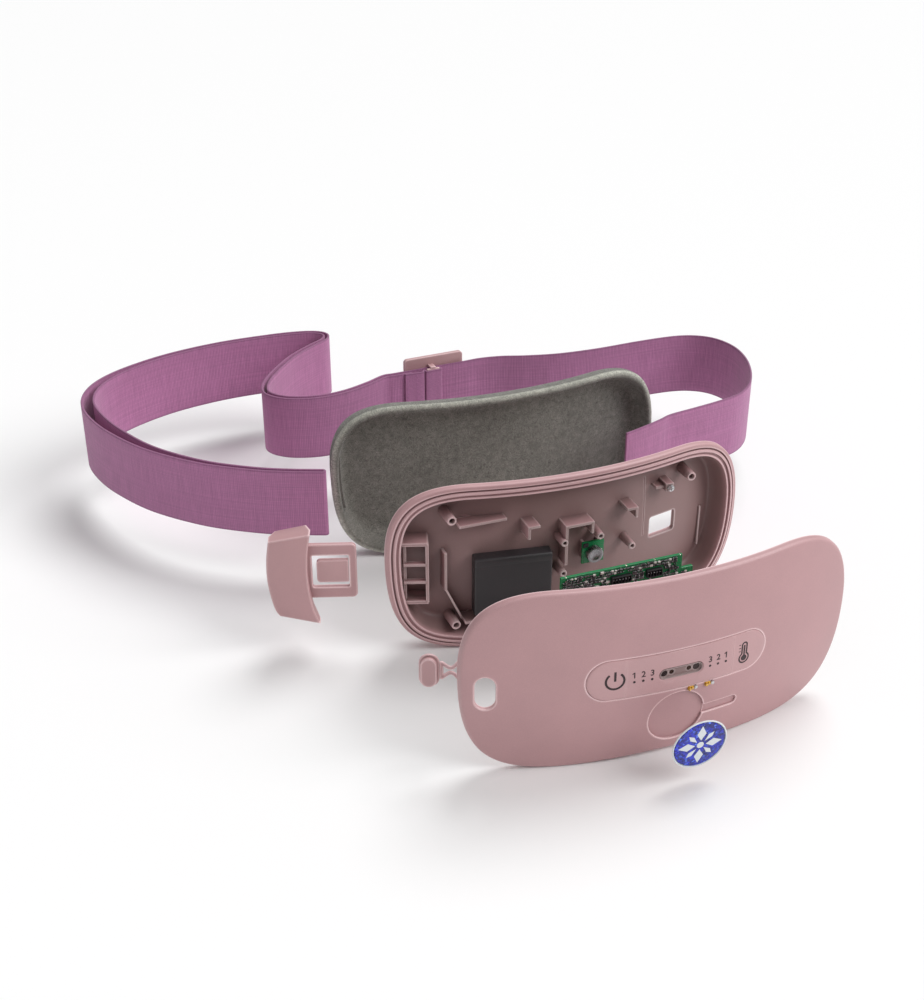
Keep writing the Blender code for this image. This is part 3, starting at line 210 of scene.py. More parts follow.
def ring_loft(name, rings, ends=("FILL", "FILL")):
    """One ring, extruded ring by ring. Each end is filled flat or drawn to its middle."""
    clear_selection()
    bpy.ops.mesh.primitive_circle_add(vertices=len(rings[0]), radius=1.0, fill_type="NOTHING")
    thing = bpy.context.object
    thing.name = thing.data.name = name
    for vertex, spot in zip(thing.data.vertices, rings[0]):
        vertex.co = spot
    edit(thing)
    for old, new in zip(rings, rings[1:]):
        goal = {key_of(a): b for a, b in zip(old, new)}
        bpy.ops.mesh.extrude_edges_move()
        mesh = bmesh.from_edit_mesh(thing.data)
        for vertex in mesh.verts:
            if vertex.select:
                vertex.co = goal[key_of(vertex.co)]
        bmesh.update_edit_mesh(thing.data)
    close_end(thing, ends[1])
    mesh = bmesh.from_edit_mesh(thing.data)
    mesh.verts.ensure_lookup_table()
    for vertex in mesh.verts:
        vertex.select = vertex.index < len(rings[0])
    mesh.select_flush(True)
    bmesh.update_edit_mesh(thing.data)
    close_end(thing, ends[0])
    bpy.ops.object.mode_set(mode="OBJECT")
    return face_out(thing)


def close_end(thing, end):
    """Close the selected ring with one face, or draw it to a point given by its middle."""
    if end == "FILL":
        bpy.ops.mesh.edge_face_add()
        return
    bpy.ops.mesh.extrude_edges_move()
    bpy.ops.mesh.merge(type="CENTER")
    mesh = bmesh.from_edit_mesh(thing.data)
    for vertex in mesh.verts:
        if vertex.select:
            vertex.co = end
    bmesh.update_edit_mesh(thing.data)


def plate(name, points, front, back):
    """A flat outline in the front plane, extruded back."""
    return ring_loft(name, [[(x, y, z) for x, z in points] for y in (front, back)])


def layers(name, outlines):
    """A plate whose outline changes with depth: (points, y) from front to back."""
    return ring_loft(name, [[(x, y, z) for x, z in points] for points, y in outlines])


def turned(name, x, z, steps, count):
    """A round piece about a line from front to back: steps of (radius, depth)."""
    return layers(name, [(disc(x, z, radius, count), y) for radius, y in steps])


def pill_stack(name, middle, half, tall, steps):
    """A stadium about its middle, which grows and shrinks with depth: steps of (growth, depth)."""
    x, z = middle
    outlines = [(pill(x - half - g, x + half + g, z - tall - g, z + tall + g), y) for g, y in steps]
    return layers(name, outlines)


def slice_up(thing, pitch):
    """Cut a piece along a square grid so that it can follow a curve."""
    edit(thing)
    for axis in (0, 2):
        values = [vertex.co[axis] for vertex in bmesh.from_edit_mesh(thing.data).verts]
        first = math.floor(min(values) / pitch) + 1
        for step in range(first, math.ceil(max(values) / pitch)):
            place, normal = [0.0] * 3, [0.0] * 3
            place[axis], normal[axis] = step * pitch, 1.0
            bpy.ops.mesh.select_all(action="SELECT")
            bpy.ops.mesh.bisect(plane_co=place, plane_no=normal)
    bpy.ops.object.mode_set(mode="OBJECT")
    return thing


def bow(thing, s):
    """Lay a flat piece on the bowed and crowned pod."""
    for vertex in thing.data.vertices:
        vertex.co.y += bowed(s, vertex.co.x, vertex.co.z)
    return thing


def bowed(s, x, z):
    """Depth of the pod's surface behind its middle."""
    return x * x / (2.0 * s.bow) + z * z / (2.0 * s.crown)


def yaw_at(s, x):
    """Turn of the pod's surface at a place, in degrees."""
    return math.degrees(math.atan2(x, s.bow))


def laid(thing, pitch, s):
    """Slice a flat piece and lay it on the bowed and crowned pod."""
    return bow(slice_up(thing, pitch), s)


def box(name, low, high, soft=0.0, steps=2):
    """A box between two corners, with its edges rounded if a width is given."""
    clear_selection()
    bpy.ops.mesh.primitive_cube_add(size=1.0)
    thing = bpy.context.object
    thing.name = thing.data.name = name
    for vertex in thing.data.vertices:
        vertex.co = [low[i] + (vertex.co[i] + 0.5) * (high[i] - low[i]) for i in range(3)]
    return soften(thing, soft, steps) if soft else thing


def unit_box(name, soft, steps=1):
    """A rounded box of size one, for scattering."""
    return box(name, (0.0, 0.0, 0.0), (1.0, 1.0, 1.0), soft, steps)


def soften(thing, width, steps=2, angle=35.0):
    """Round every sharp edge."""
    return with_modifier(thing, "BEVEL", width=width, segments=steps, limit_method="ANGLE",
                         angle_limit=math.radians(angle))


def with_modifier(thing, kind, **settings):
    """Add a modifier, set it and apply it."""
    pick(thing)
    modifier = thing.modifiers.new(kind.lower(), kind)
    modifier.show_viewport = False
    for name, value in settings.items():
        setattr(modifier, name, value)
    bpy.ops.object.modifier_apply(modifier=modifier.name)
    return thing


def combine(target, tools, operation):
    """Cut a target with solids, or join them to it, and drop the solids."""
    home = bpy.data.collections.new("tools")
    bpy.context.scene.collection.children.link(home)
    for tool in tools:
        for old in list(tool.users_collection):
            old.objects.unlink(tool)
        home.objects.link(tool)
    with_modifier(target, "BOOLEAN", operation=operation, solver="EXACT", operand_type="COLLECTION",
                  collection=home)
    for tool in tools:
        bpy.data.objects.remove(tool, do_unlink=True)
    bpy.data.collections.remove(home)
    return target


def cut(target, tools):
    """Cut a target with solids."""
    return combine(target, tools, "DIFFERENCE")


def weld(target, tools):
    """Mould solids onto a target."""
    return combine(target, tools, "UNION")


def joined(name, things):
    """Several meshes as one piece."""
    pick(things[0])
    for thing in things:
        thing.select_set(True)
    bpy.ops.object.join()
    things[0].name = things[0].data.name = name
    return things[0]


def scatter(name, part, spots):
    """Copies of one modelled unit part, each stretched between two corners, joined into one piece."""
    copies = []
    for low, high in spots:
        copy = part.copy()
        copy.data = part.data.copy()
        bpy.context.scene.collection.objects.link(copy)
        for vertex in copy.data.vertices:
            vertex.co = [low[i] + vertex.co[i] * (high[i] - low[i]) for i in range(3)]
        copies.append(copy)
    bpy.data.objects.remove(part, do_unlink=True)
    return joined(name, copies)


def turn(thing, degrees):
    """Turn a piece's mesh about the upright axis."""
    thing.data.transform(Matrix.Rotation(math.radians(degrees), 4, "Z"))
    return thing


def shift(thing, way):
    """Move a piece's mesh."""
    thing.data.transform(Matrix.Translation(way))
    return thing


def done(thing, body, finish, *nodes, smooth=32.0):
    """Scale a piece to metres, carry it out to its place, give it its finish and hang it on its body."""
    pick(thing)
    bpy.ops.object.shade_smooth_by_angle(angle=math.radians(smooth))
    thing.scale = (MM, MM, MM)
    thing.location = POD + OUT[body]
    bpy.ops.object.transform_apply(location=True, rotation=True, scale=True)
    thing.data.materials.clear()
    thing.data.materials.append(bpy.data.materials[finish])
    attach(thing, body)
    if nodes:
        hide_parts(*nodes)


def share(value):
    """A value held between nothing and all."""
    return max(0.0, min(1.0, value))


# Outlines


def arc(x, z, radius, start, end, steps):
    """Points on an arc in the front plane, angles in degrees."""
    angles = [math.radians(start + (end - start) * k / steps) for k in range(steps + 1)]
    return [(x + radius * math.cos(a), z + radius * math.sin(a)) for a in angles]


def disc(x, z, radius, count):
    """Points round a circle."""
    return arc(x, z, radius, 0.0, 360.0, count)[:-1]


def rounded(x0, x1, z0, z1, radius, steps=8):
    """A rectangle with round corners."""
    points = []
    for x, z, start in ((x1 - radius, z1 - radius, 0), (x0 + radius, z1 - radius, 90),
                        (x0 + radius, z0 + radius, 180), (x1 - radius, z0 + radius, 270)):
        points += arc(x, z, radius, start, start + 90, steps)
    return points


PILL_STEPS = 26


def pill(x0, x1, z0, z1):
    """A stadium, lying or standing."""
    x, z = (x0 + x1) / 2.0, (z0 + z1) / 2.0
    radius = min(x1 - x0, z1 - z0) / 2.0
    if x1 - x0 > z1 - z0:
        right = arc(x1 - radius, z, radius, -90, 90, PILL_STEPS)
        return right + arc(x0 + radius, z, radius, 90, 270, PILL_STEPS)
    upper = arc(x, z1 - radius, radius, 0, 180, PILL_STEPS)
    return upper + arc(x, z0 + radius, radius, 180, 360, PILL_STEPS)


def stroke(points, width):
    """The outline of a line of some width, square at its ends."""
    left, right = [], []
    for i, (x, z) in enumerate(points):
        before, after = points[max(0, i - 1)], points[min(len(points) - 1, i + 1)]
        along = Vector((after[0] - before[0], after[1] - before[1])).normalized()
        left.append((x - along.y * width / 2, z + along.x * width / 2))
        right.append((x + along.y * width / 2, z - along.x * width / 2))
    return left + right[::-1]


def bezier(a, b, c, d, t):
    """A point on a cubic curve."""
    u = 1.0 - t
    first, second, third, fourth = u ** 3, 3 * u * u * t, 3 * u * t * t, t ** 3
    return tuple(first * a[i] + second * b[i] + third * c[i] + fourth * d[i] for i in range(2))


POD_POINTS = 216
SPAN_STEPS = 120
MIDDLE_RINGS = (0.06, 0.17, 0.3, 0.43, 0.56, 0.69, 0.81, 0.92)


def pod_outline(s):
    """Evenly spaced points of the pod's outline with their outward normals."""
    arch, wide = s.foot + s.foot_arch, s.half_width
    up, down = 0.81 * (s.top - s.widest), 0.865 * (s.widest - s.foot)
    spans = (
        ((0.0, arch), (0.5 * s.foot_place, arch), (0.7 * s.foot_place, s.foot), (s.foot_place, s.foot)),
        ((s.foot_place, s.foot), (s.foot_place + 0.66 * (wide - s.foot_place), s.foot),
         (wide, s.widest - down), (wide, s.widest)),
        ((wide, s.widest), (wide, s.widest + up), (s.shoulder + 0.57 * (wide - s.shoulder), s.top),
         (s.shoulder, s.top)),
        ((s.shoulder, s.top), (0.7 * s.shoulder, s.top), (0.4 * s.shoulder, s.top), (0.0, s.top)),
    )
    dense = [bezier(*span, k / SPAN_STEPS) for span in spans for k in range(SPAN_STEPS)] + [spans[-1][-1]]
    run = [0.0]
    for a, b in zip(dense, dense[1:]):
        run.append(run[-1] + math.dist(a, b))
    half = POD_POINTS // 2
    right, i = [], 1
    for k in range(half + 1):
        goal = run[-1] * k / half
        while i < len(run) - 1 and run[i] < goal:
            i += 1
        f = (goal - run[i - 1]) / (run[i] - run[i - 1])
        a, b = dense[i - 1], dense[i]
        low, high = dense[max(0, i - 4)], dense[min(len(dense) - 1, i + 3)]
        along = Vector((high[0] - low[0], high[1] - low[1])).normalized()
        if k in (0, half):
            along = Vector((1.0 if k == 0 else -1.0, 0.0))
        right.append((a[0] + (b[0] - a[0]) * f, a[1] + (b[1] - a[1]) * f, along.y, -along.x))
    left = [(-x, z, -nx, nz) for x, z, nx, nz in reversed(right[1:-1])]
    return right + left


def pod_ring(s, outline, inset, depth, shrink=1.0):
    """One ring of the pod: drawn in by inset, shrunk to the middle, set at a depth."""
    ring = []
    for x, z, nx, nz in outline:
        px, pz = (x - nx * inset) * shrink, (z - nz * inset) * shrink
        ring.append((px, bowed(s, px, pz) + depth, pz))
    return ring


def pod_shell(name, s, profile):
    """A closed shell from a profile of (inset, depth), which leads from one side's middle to the other's."""
    outline = pod_outline(s)
    first, last = profile[0], profile[-1]
    rings = [pod_ring(s, outline, *first, shrink=k) for k in MIDDLE_RINGS]
    rings += [pod_ring(s, outline, *step) for step in profile]
    rings += [pod_ring(s, outline, *last, shrink=k) for k in reversed(MIDDLE_RINGS)]
    return ring_loft(name, rings, ((0.0, first[1], 0.0), (0.0, last[1], 0.0)))


MOUTH = 0.8


def well(name, s, middle, half, tall, front, floor, flare):
    """A cutter for a long pocket in the bowed face, with a flared mouth."""
    steps = ((flare + MOUTH, front - MOUTH), (0.0, front + flare), (0.0, floor))
    return laid(pill_stack(name, middle, half, tall, steps), 5.0, s)


def round_well(name, s, radius, front, floor):
    """A cutter for the badge's round pocket, with its floor in rings so that it follows the bowed face."""
    flare, fillet = 0.2, 0.15
    steps = [(radius + MOUTH + flare, front - MOUTH), (radius, front + flare), (radius, floor - fillet),
             (radius - fillet, floor)]
    steps += [(radius * part, floor) for part in (0.85, 0.7, 0.55, 0.4, 0.25, 0.1)]
    return bow(turned(name, 0.0, s.badge_z, steps, 72), s)


# Finishes


def put_node(tree, kind, settings=None, **inputs):
    """Add a shader node, with values or links on its named inputs."""
    node = tree.nodes.new(kind)
    for name, value in (settings or {}).items():
        setattr(node, name, value)
    for name, value in inputs.items():
        socket = node.inputs[int(name[1:])] if name[0] == "_" else node.inputs[name.replace("_", " ")]
        if isinstance(value, bpy.types.NodeSocket):
            tree.links.new(value, socket)
        else:
            socket.default_value = value
    return node


def mix_colour(tree, factor, a, b, blend="MIX"):
    """The result of a colour mix."""
    settings = {"data_type": "RGBA", "blend_type": blend}
    return put_node(tree, "ShaderNodeMix", settings, _0=factor, _6=a, _7=b).outputs[2]


def maths(tree, operation, a, b=0.0):
    """The result of one operation on values."""
    return put_node(tree, "ShaderNodeMath", {"operation": operation}, _0=a, _1=b).outputs[0]


def spread(tree, value, low, high, out_low, out_high):
    """A value moved from one range to another."""
    node = put_node(tree, "ShaderNodeMapRange", _0=value, _1=low, _2=high, _3=out_low, _4=out_high)
    return node.outputs[0]


def noise(tree, vector, scale, detail=3.0, roughness=0.55):
    """A noise pattern's value."""
    return put_node(tree, "ShaderNodeTexNoise", Vector=vector, Scale=scale, Detail=detail,
                    Roughness=roughness).outputs[0]


def where_is(tree, kind="Object"):
    """A place in the piece's own space, or on its UV map."""
    return put_node(tree, "ShaderNodeTexCoord").outputs[kind]


def stretched(tree, vector, scale):
    """A place drawn out by a scale for each axis."""
    return put_node(tree, "ShaderNodeMapping", Vector=vector, Scale=scale).outputs[0]


def mark(tree, name):
    """A value kept on the mesh."""
    return put_node(tree, "ShaderNodeAttribute", {"attribute_name": name}).outputs["Fac"]


COLOUR, VALUE = "NodeSocketColor", "NodeSocketFloat"
GREY = (0.5, 0.5, 0.5, 1.0)


def effect_group(name, extras, **inputs):
    """A new node group that gives a colour, a roughness and extras, with its inner ends."""
    tree = bpy.data.node_groups.new(name, "ShaderNodeTree")
    for label, default in inputs.items():
        kind = VALUE if isinstance(default, float) else COLOUR
        socket = tree.interface.new_socket(label.replace("_", " "), in_out="INPUT", socket_type=kind)
        socket.default_value = default
    for label in ("Color", "Roughness", *extras):
        kind = COLOUR if label == "Color" else VALUE
        tree.interface.new_socket(label, in_out="OUTPUT", socket_type=kind)
    return tree, tree.nodes.new("NodeGroupInput").outputs, tree.nodes.new("NodeGroupOutput").inputs


def give_out(tree, made, **results):
    """Link results to a group's outputs."""
    for label, result in results.items():
        tree.links.new(result, made[label])
    return tree


def tint(tree, colour_socket, factor, dark, light):
    """A colour darkened and lightened by a pattern."""
    shade = spread(tree, factor, 0.3, 0.7, dark, light)
    grey = put_node(tree, "ShaderNodeCombineColor", _0=shade, _1=shade, _2=shade).outputs[0]
    return mix_colour(tree, 1.0, colour_socket, grey, "MULTIPLY")


def moulded_group():
    """Moulded plastic: fine grain, slow cloudiness, painted highlights on convex edges and painted shade in
    hollows.
    """
    tree, given, made = effect_group("Moulded grain", ("Height",), Color=GREY, Grain=2600.0, Roughness=0.5,
                                     Rubbed_edges=0.0, Hollows=0.0)
    where = where_is(tree)
    cloud = noise(tree, where, 46.0, 3.0)
    grain = noise(tree, where, given["Grain"], 2.0)
    cloudy = tint(tree, given["Color"], cloud, 0.965, 1.03)
    grainy = tint(tree, cloudy, grain, 0.955, 1.045)
    # Occlusion inside the piece finds convex edges for a painted highlight; occlusion around it finds hollows
    # for painted shade
    within = put_node(tree, "ShaderNodeAmbientOcclusion", {"samples": 8, "inside": True, "only_local": True},
                      Distance=0.0010).outputs["AO"]
    around = put_node(tree, "ShaderNodeAmbientOcclusion", {"samples": 6, "only_local": True},
                      Distance=0.011).outputs["AO"]
    edge = maths(tree, "MULTIPLY", spread(tree, within, 0.62, 0.97, 1.0, 0.0), given["Rubbed edges"])
    hollow = maths(tree, "MULTIPLY", spread(tree, around, 0.25, 0.95, 1.0, 0.0), given["Hollows"])
    # Painted shade colour for hollows and painted highlight colour for edges
    dark = mix_colour(tree, 1.0, grainy, (0.46, 0.42, 0.42, 1.0), "MULTIPLY")
    pale = mix_colour(tree, 1.0, grainy, (0.46, 0.43, 0.43, 1.0), "ADD")
    rough = maths(tree, "ADD", given["Roughness"], spread(tree, cloud, 0.3, 0.7, -0.05, 0.05))
    rough = maths(tree, "ADD", rough, spread(tree, grain, 0.3, 0.7, -0.05, 0.05))
    shaded = mix_colour(tree, edge, mix_colour(tree, hollow, grainy, dark), pale)
    return give_out(tree, made, Color=shaded, Roughness=rough, Height=grain)


def webbing_group():
    """Plain weave along the piece's own UV map, with ribs, slub lines and darker selvedges."""
    tree, given, made = effect_group("Webbing weave", ("Height",), Color=GREY, Picks=900.0, Ends=34.0)
    where = where_is(tree, "UV")
    apart = put_node(tree, "ShaderNodeSeparateXYZ", Vector=where).outputs
    along, across = apart[0], apart[1]
    turn_along = maths(tree, "MULTIPLY", maths(tree, "MULTIPLY", along, given["Picks"]), math.pi)
    turn_across = maths(tree, "MULTIPLY", maths(tree, "MULTIPLY", across, given["Ends"]), math.pi)
    over = maths(tree, "MULTIPLY", maths(tree, "SINE", turn_along), maths(tree, "SINE", turn_across))
    height = maths(tree, "ABSOLUTE", over)
    lengthways = noise(tree, stretched(tree, where, (16.0, 52.0, 1.0)), 1.0)
    crossways = noise(tree, stretched(tree, where, (1700.0, 2.4, 1.0)), 1.0)
    soft = noise(tree, stretched(tree, where, (46.0, 26.0, 1.0)), 1.0)
    threads = given["Color"]
    for pattern, dark, light in ((height, 0.86, 1.10), (lengthways, 0.91, 1.07), (crossways, 0.87, 1.09),
                                 (soft, 0.95, 1.05)):
        threads = tint(tree, threads, pattern, dark, light)
    edge = maths(tree, "ABSOLUTE", maths(tree, "SUBTRACT", across, 0.5))
    selvedge = spread(tree, edge, 0.465, 0.495, 0.0, 0.55)
    dark = mix_colour(tree, 1.0, threads, (0.42, 0.36, 0.42, 1.0), "MULTIPLY")
    return give_out(tree, made, Color=mix_colour(tree, selvedge, threads, dark),
                    Roughness=spread(tree, soft, 0.3, 0.7, 0.72, 0.9),
                    Height=maths(tree, "ADD", height, maths(tree, "MULTIPLY", lengthways, 0.6)))


def felt_group():
    """Short matted fibres, lighter flecks and a painted highlight along the front rim."""
    tree, given, made = effect_group("Felt fibres", ("Height",), Color=GREY, Edge_color=GREY)
    where = where_is(tree)
    warp = put_node(tree, "ShaderNodeTexNoise", Vector=where, Scale=240.0, Detail=2.0).outputs["Color"]
    bent = mix_colour(tree, 0.006, where, warp, "LINEAR_LIGHT")
    fibre = noise(tree, bent, 1150.0, 5.0, 0.7)
    clump = noise(tree, where, 300.0, 3.0)
    slow = noise(tree, where, 24.0, 2.0)
    # Painted highlight: the rim mark mixes the felt towards the paler highlight colour
    base = mix_colour(tree, mark(tree, "rim_highlight"), given["Color"], given["Edge color"])
    fuzzy = tint(tree, tint(tree, tint(tree, base, slow, 0.9, 1.1), clump, 0.84, 1.18), fibre, 0.42, 1.72)
    return give_out(tree, made, Color=fuzzy, Roughness=spread(tree, fibre, 0.3, 0.7, 0.86, 1.0),
                    Height=maths(tree, "ADD", fibre, maths(tree, "MULTIPLY", clump, 0.7)))


def metal_group():
    """Fine random scratches for small metal parts."""
    tree, given, made = effect_group("Handled metal", ("Height",), Color=GREY, Roughness=0.3)
    scratch = noise(tree, stretched(tree, where_is(tree), (900.0, 900.0, 5200.0)), 1.0, 4.0)
    rough = maths(tree, "ADD", given["Roughness"], spread(tree, scratch, 0.3, 0.7, -0.09, 0.09))
    return give_out(tree, made, Color=tint(tree, given["Color"], scratch, 0.86, 1.1), Roughness=rough,
                    Height=scratch)


def tracks_group():
    """Copper tracks, pads and vias under a solder mask."""
    tree, given, made = effect_group("Circuit tracks", ("Height", "Metal"), Color=GREY, Pad_color=GREY)
    where = where_is(tree)
    cells = put_node(tree, "ShaderNodeTexVoronoi", {"distance": "MANHATTAN", "feature": "F1"},
                     Vector=stretched(tree, where, (1.0, 0.02, 1.0)), Scale=330.0, Randomness=0.8).outputs
    facing = put_node(tree, "ShaderNodeMapping", Vector=where, Rotation=(math.pi / 2, 0.0, 0.0)).outputs[0]
    track = put_node(tree, "ShaderNodeTexBrick", {"offset": 0.37, "squash": 0.6, "squash_frequency": 3},
                     Vector=facing, Scale=210.0, Mortar_Size=0.11, Mortar_Smooth=0.2, Brick_Width=0.8,
                     Row_Height=0.34).outputs[1]
    pad_spot = maths(tree, "LESS_THAN", cells[0], 0.16)
    light = mix_colour(tree, 1.0, given["Color"], (1.7, 1.35, 1.5, 1.0), "MULTIPLY")
    masked = mix_colour(tree, track, given["Color"], light)
    return give_out(tree, made, Color=mix_colour(tree, pad_spot, masked, given["Pad color"]),
                    Roughness=spread(tree, track, 0.0, 1.0, 0.34, 0.24),
                    Height=maths(tree, "ADD", track, pad_spot), Metal=pad_spot)


def glitter_group():
    """Flakes of many tones under a clear coat."""
    tree, given, made = effect_group("Glitter flakes", ("Metal",), Color=GREY, Flake_color=GREY)
    where = where_is(tree)
    flake = put_node(tree, "ShaderNodeTexVoronoi", Vector=where, Scale=1100.0, Randomness=1.0).outputs
    tone = put_node(tree, "ShaderNodeSeparateColor", Color=flake["Color"]).outputs
    bright = spread(tree, tone[0], 0.84, 1.0, 0.0, 0.9)
    slow = noise(tree, where, 150.0, 3.0)
    base = tint(tree, tint(tree, given["Color"], tone[1], 0.55, 1.5), slow, 0.6, 1.5)
    return give_out(tree, made, Color=mix_colour(tree, bright, base, given["Flake color"]),
                    Roughness=spread(tree, tone[2], 0.0, 1.0, 0.15, 0.45),
                    Metal=maths(tree, "MULTIPLY", bright, 0.7))


def new_finish(name, **inputs):
    """A new material with values on its shader's inputs. Gives its nodes and its shader."""
    material = bpy.data.materials.new(name)
    material.use_nodes = True
    shader = material.node_tree.nodes["Principled BSDF"]
    for label, value in inputs.items():
        shader.inputs[label.replace("_", " ")].default_value = value
    return material.node_tree, shader


def use_group(tree, shader, effect, bump, **inputs):
    """Feed a shader from an effect group, with its height through a bump node of (strength, distance)."""
    node = put_node(tree, "ShaderNodeGroup", {"node_tree": effect}, **inputs)
    tree.links.new(node.outputs["Color"], shader.inputs["Base Color"])
    tree.links.new(node.outputs["Roughness"], shader.inputs["Roughness"])
    if "Metal" in node.outputs:
        tree.links.new(node.outputs["Metal"], shader.inputs["Metallic"])
    if bump:
        strength, distance = bump
        lift = put_node(tree, "ShaderNodeBump", Strength=strength, Distance=distance,
                        Height=node.outputs["Height"])
        tree.links.new(lift.outputs[0], shader.inputs["Normal"])


# Moulded finishes: name, colour, roughness, grain, bump, painted edge highlight, painted hollow shade
PLASTICS = (
    ("shell", "shell", 0.46, 2600.0, 0.10, 0.9, 0.4), ("inlay", "inlay", 0.36, 3800.0, 0.06, 0.6, 0.3),
    ("print_ink", "print_ink", 0.42, 5200.0, 0.02, 0.0, 0.0), ("wrap", "wrap", 0.42, 900.0, 0.10, 0.1, 0.3),
    ("epoxy", "epoxy", 0.50, 5200.0, 0.12, 0.0, 0.0), ("ivory", "ivory", 0.45, 4200.0, 0.06, 0.0, 0.0),
    ("enamel", "enamel", 0.22, 3000.0, 0.02, 0.0, 0.0), ("film", "film", 0.32, 1600.0, 0.05, 0.0, 0.0),
    ("port_shade", "port_shade", 0.40, 3000.0, 0.06, 0.3, 0.5),
    ("thread", "thread", 0.70, 2400.0, 0.30, 0.0, 0.0), ("panel", "inlay", 0.36, 3800.0, 0.06, 0.08, 0.1),
    ("case", "case", 0.46, 2600.0, 0.10, 0.6, 0.7))
COATED = ("shell", "case", "inlay", "panel")
COAT = {"Coat_Weight": 0.12, "Coat_Roughness": 0.25}


def make_finishes(context):
    """Every finish of the pod."""
    tones = {name: (*getattr(context.scene.pod_colours, name), 1.0) for name in PodColours.__annotations__}
    grain, weave, felt, metal = moulded_group(), webbing_group(), felt_group(), metal_group()
    tracks, flakes = tracks_group(), glitter_group()
    for name, tone, rough, scale, strength, edges, hollows in PLASTICS:
        tree, shader = new_finish(name, **(COAT if name in COATED else {}))
        base = tones[tone]
        # The housing's inside takes the darker case colour as painted shade, by its inside mark
        if name == "case":
            base = mix_colour(tree, mark(tree, "inside"), tones["shell"], base)
        # Each plastic gets its painted edge highlight and painted hollow shade from the table
        use_group(tree, shader, grain, (strength, 0.0002), Color=base, Grain=scale, Roughness=rough,
                  Rubbed_edges=edges, Hollows=hollows)
    for name in ("steel", "nickel", "brass", "gunmetal", "bronze"):
        tree, shader = new_finish(name, Metallic=1.0)
        use_group(tree, shader, metal, (0.06, 0.0001), Color=tones[name], Roughness=0.28)
    for name, picks in (("webbing", 1500.0), ("loop_webbing", 60.0)):
        tree, shader = new_finish(name, Sheen_Weight=0.18, Sheen_Roughness=0.5)
        use_group(tree, shader, weave, (0.45, 0.0003), Color=tones["webbing"], Picks=picks, Ends=46.0)
    tree, shader = new_finish("felt", Sheen_Weight=0.25, Specular_IOR_Level=0.2)
    use_group(tree, shader, felt, (0.8, 0.0006), Color=tones["felt"], Edge_color=tones["felt_edge"])
    tree, shader = new_finish("mask")
    use_group(tree, shader, tracks, (0.25, 0.0001), Color=tones["mask"], Pad_color=(0.75, 0.72, 0.62, 1.0))
    tree, shader = new_finish("glitter", Coat_Weight=0.25)
    use_group(tree, shader, flakes, None, Color=tones["glitter"], Flake_color=(0.13, 0.27, 1.0, 1.0))


# Pieces


class POD_OT_finishes(bpy.types.Operator):
    """Make every finish, and give one to each solid that stays in view"""

    bl_idname = "pod.finishes"
    bl_label = "Finishes"

    def execute(self, context):
        make_finishes(context)
        for node, name in (("heating_film", "film"), ("motor_weight", "brass")):
            solid = frame["nodes"][node]
            for place in solid.material_slots:
                place.link = "OBJECT"
                place.material = bpy.data.materials[name]
        return {"FINISHED"}


# How far the panel stands out of the cover and its play in its well, and the depths of the pockets
PANEL_PROUD, PANEL_ROOM = 0.38, 0.14
PANEL_WELL, THUMB_WELL, BADGE_POCKET = 1.5, 0.9, 1.2
CORNER_POSTS = ((-64.0, 28.5), (64.0, 28.5), (-62.0, -31.0), (62.0, -31.0))
CORNER_TIP = 2.5
BOARD_POSTS = ((-8.5, 9.4), (10.8, 9.6), (28.4, 0.4), (-8.6, -7.9))
BOARD_BACK, BOARD_THICK = 4.8, 1.6
KEY_X, KEY_Z = 33.0, 3.5
# How far printed signs stand out of the panel and reach into it, and where its level lamps are
INK_OUT, INK_IN = 0.06, 0.1
LAMPS = (22.3, 18.2, 14.1)


def cover_levels(s):
    """Depths of the cover's face, its inner side and its back edge."""
    lip = -s.cover_skirt - s.gap
    return lip - 0.25, lip + s.cover_face, -s.gap


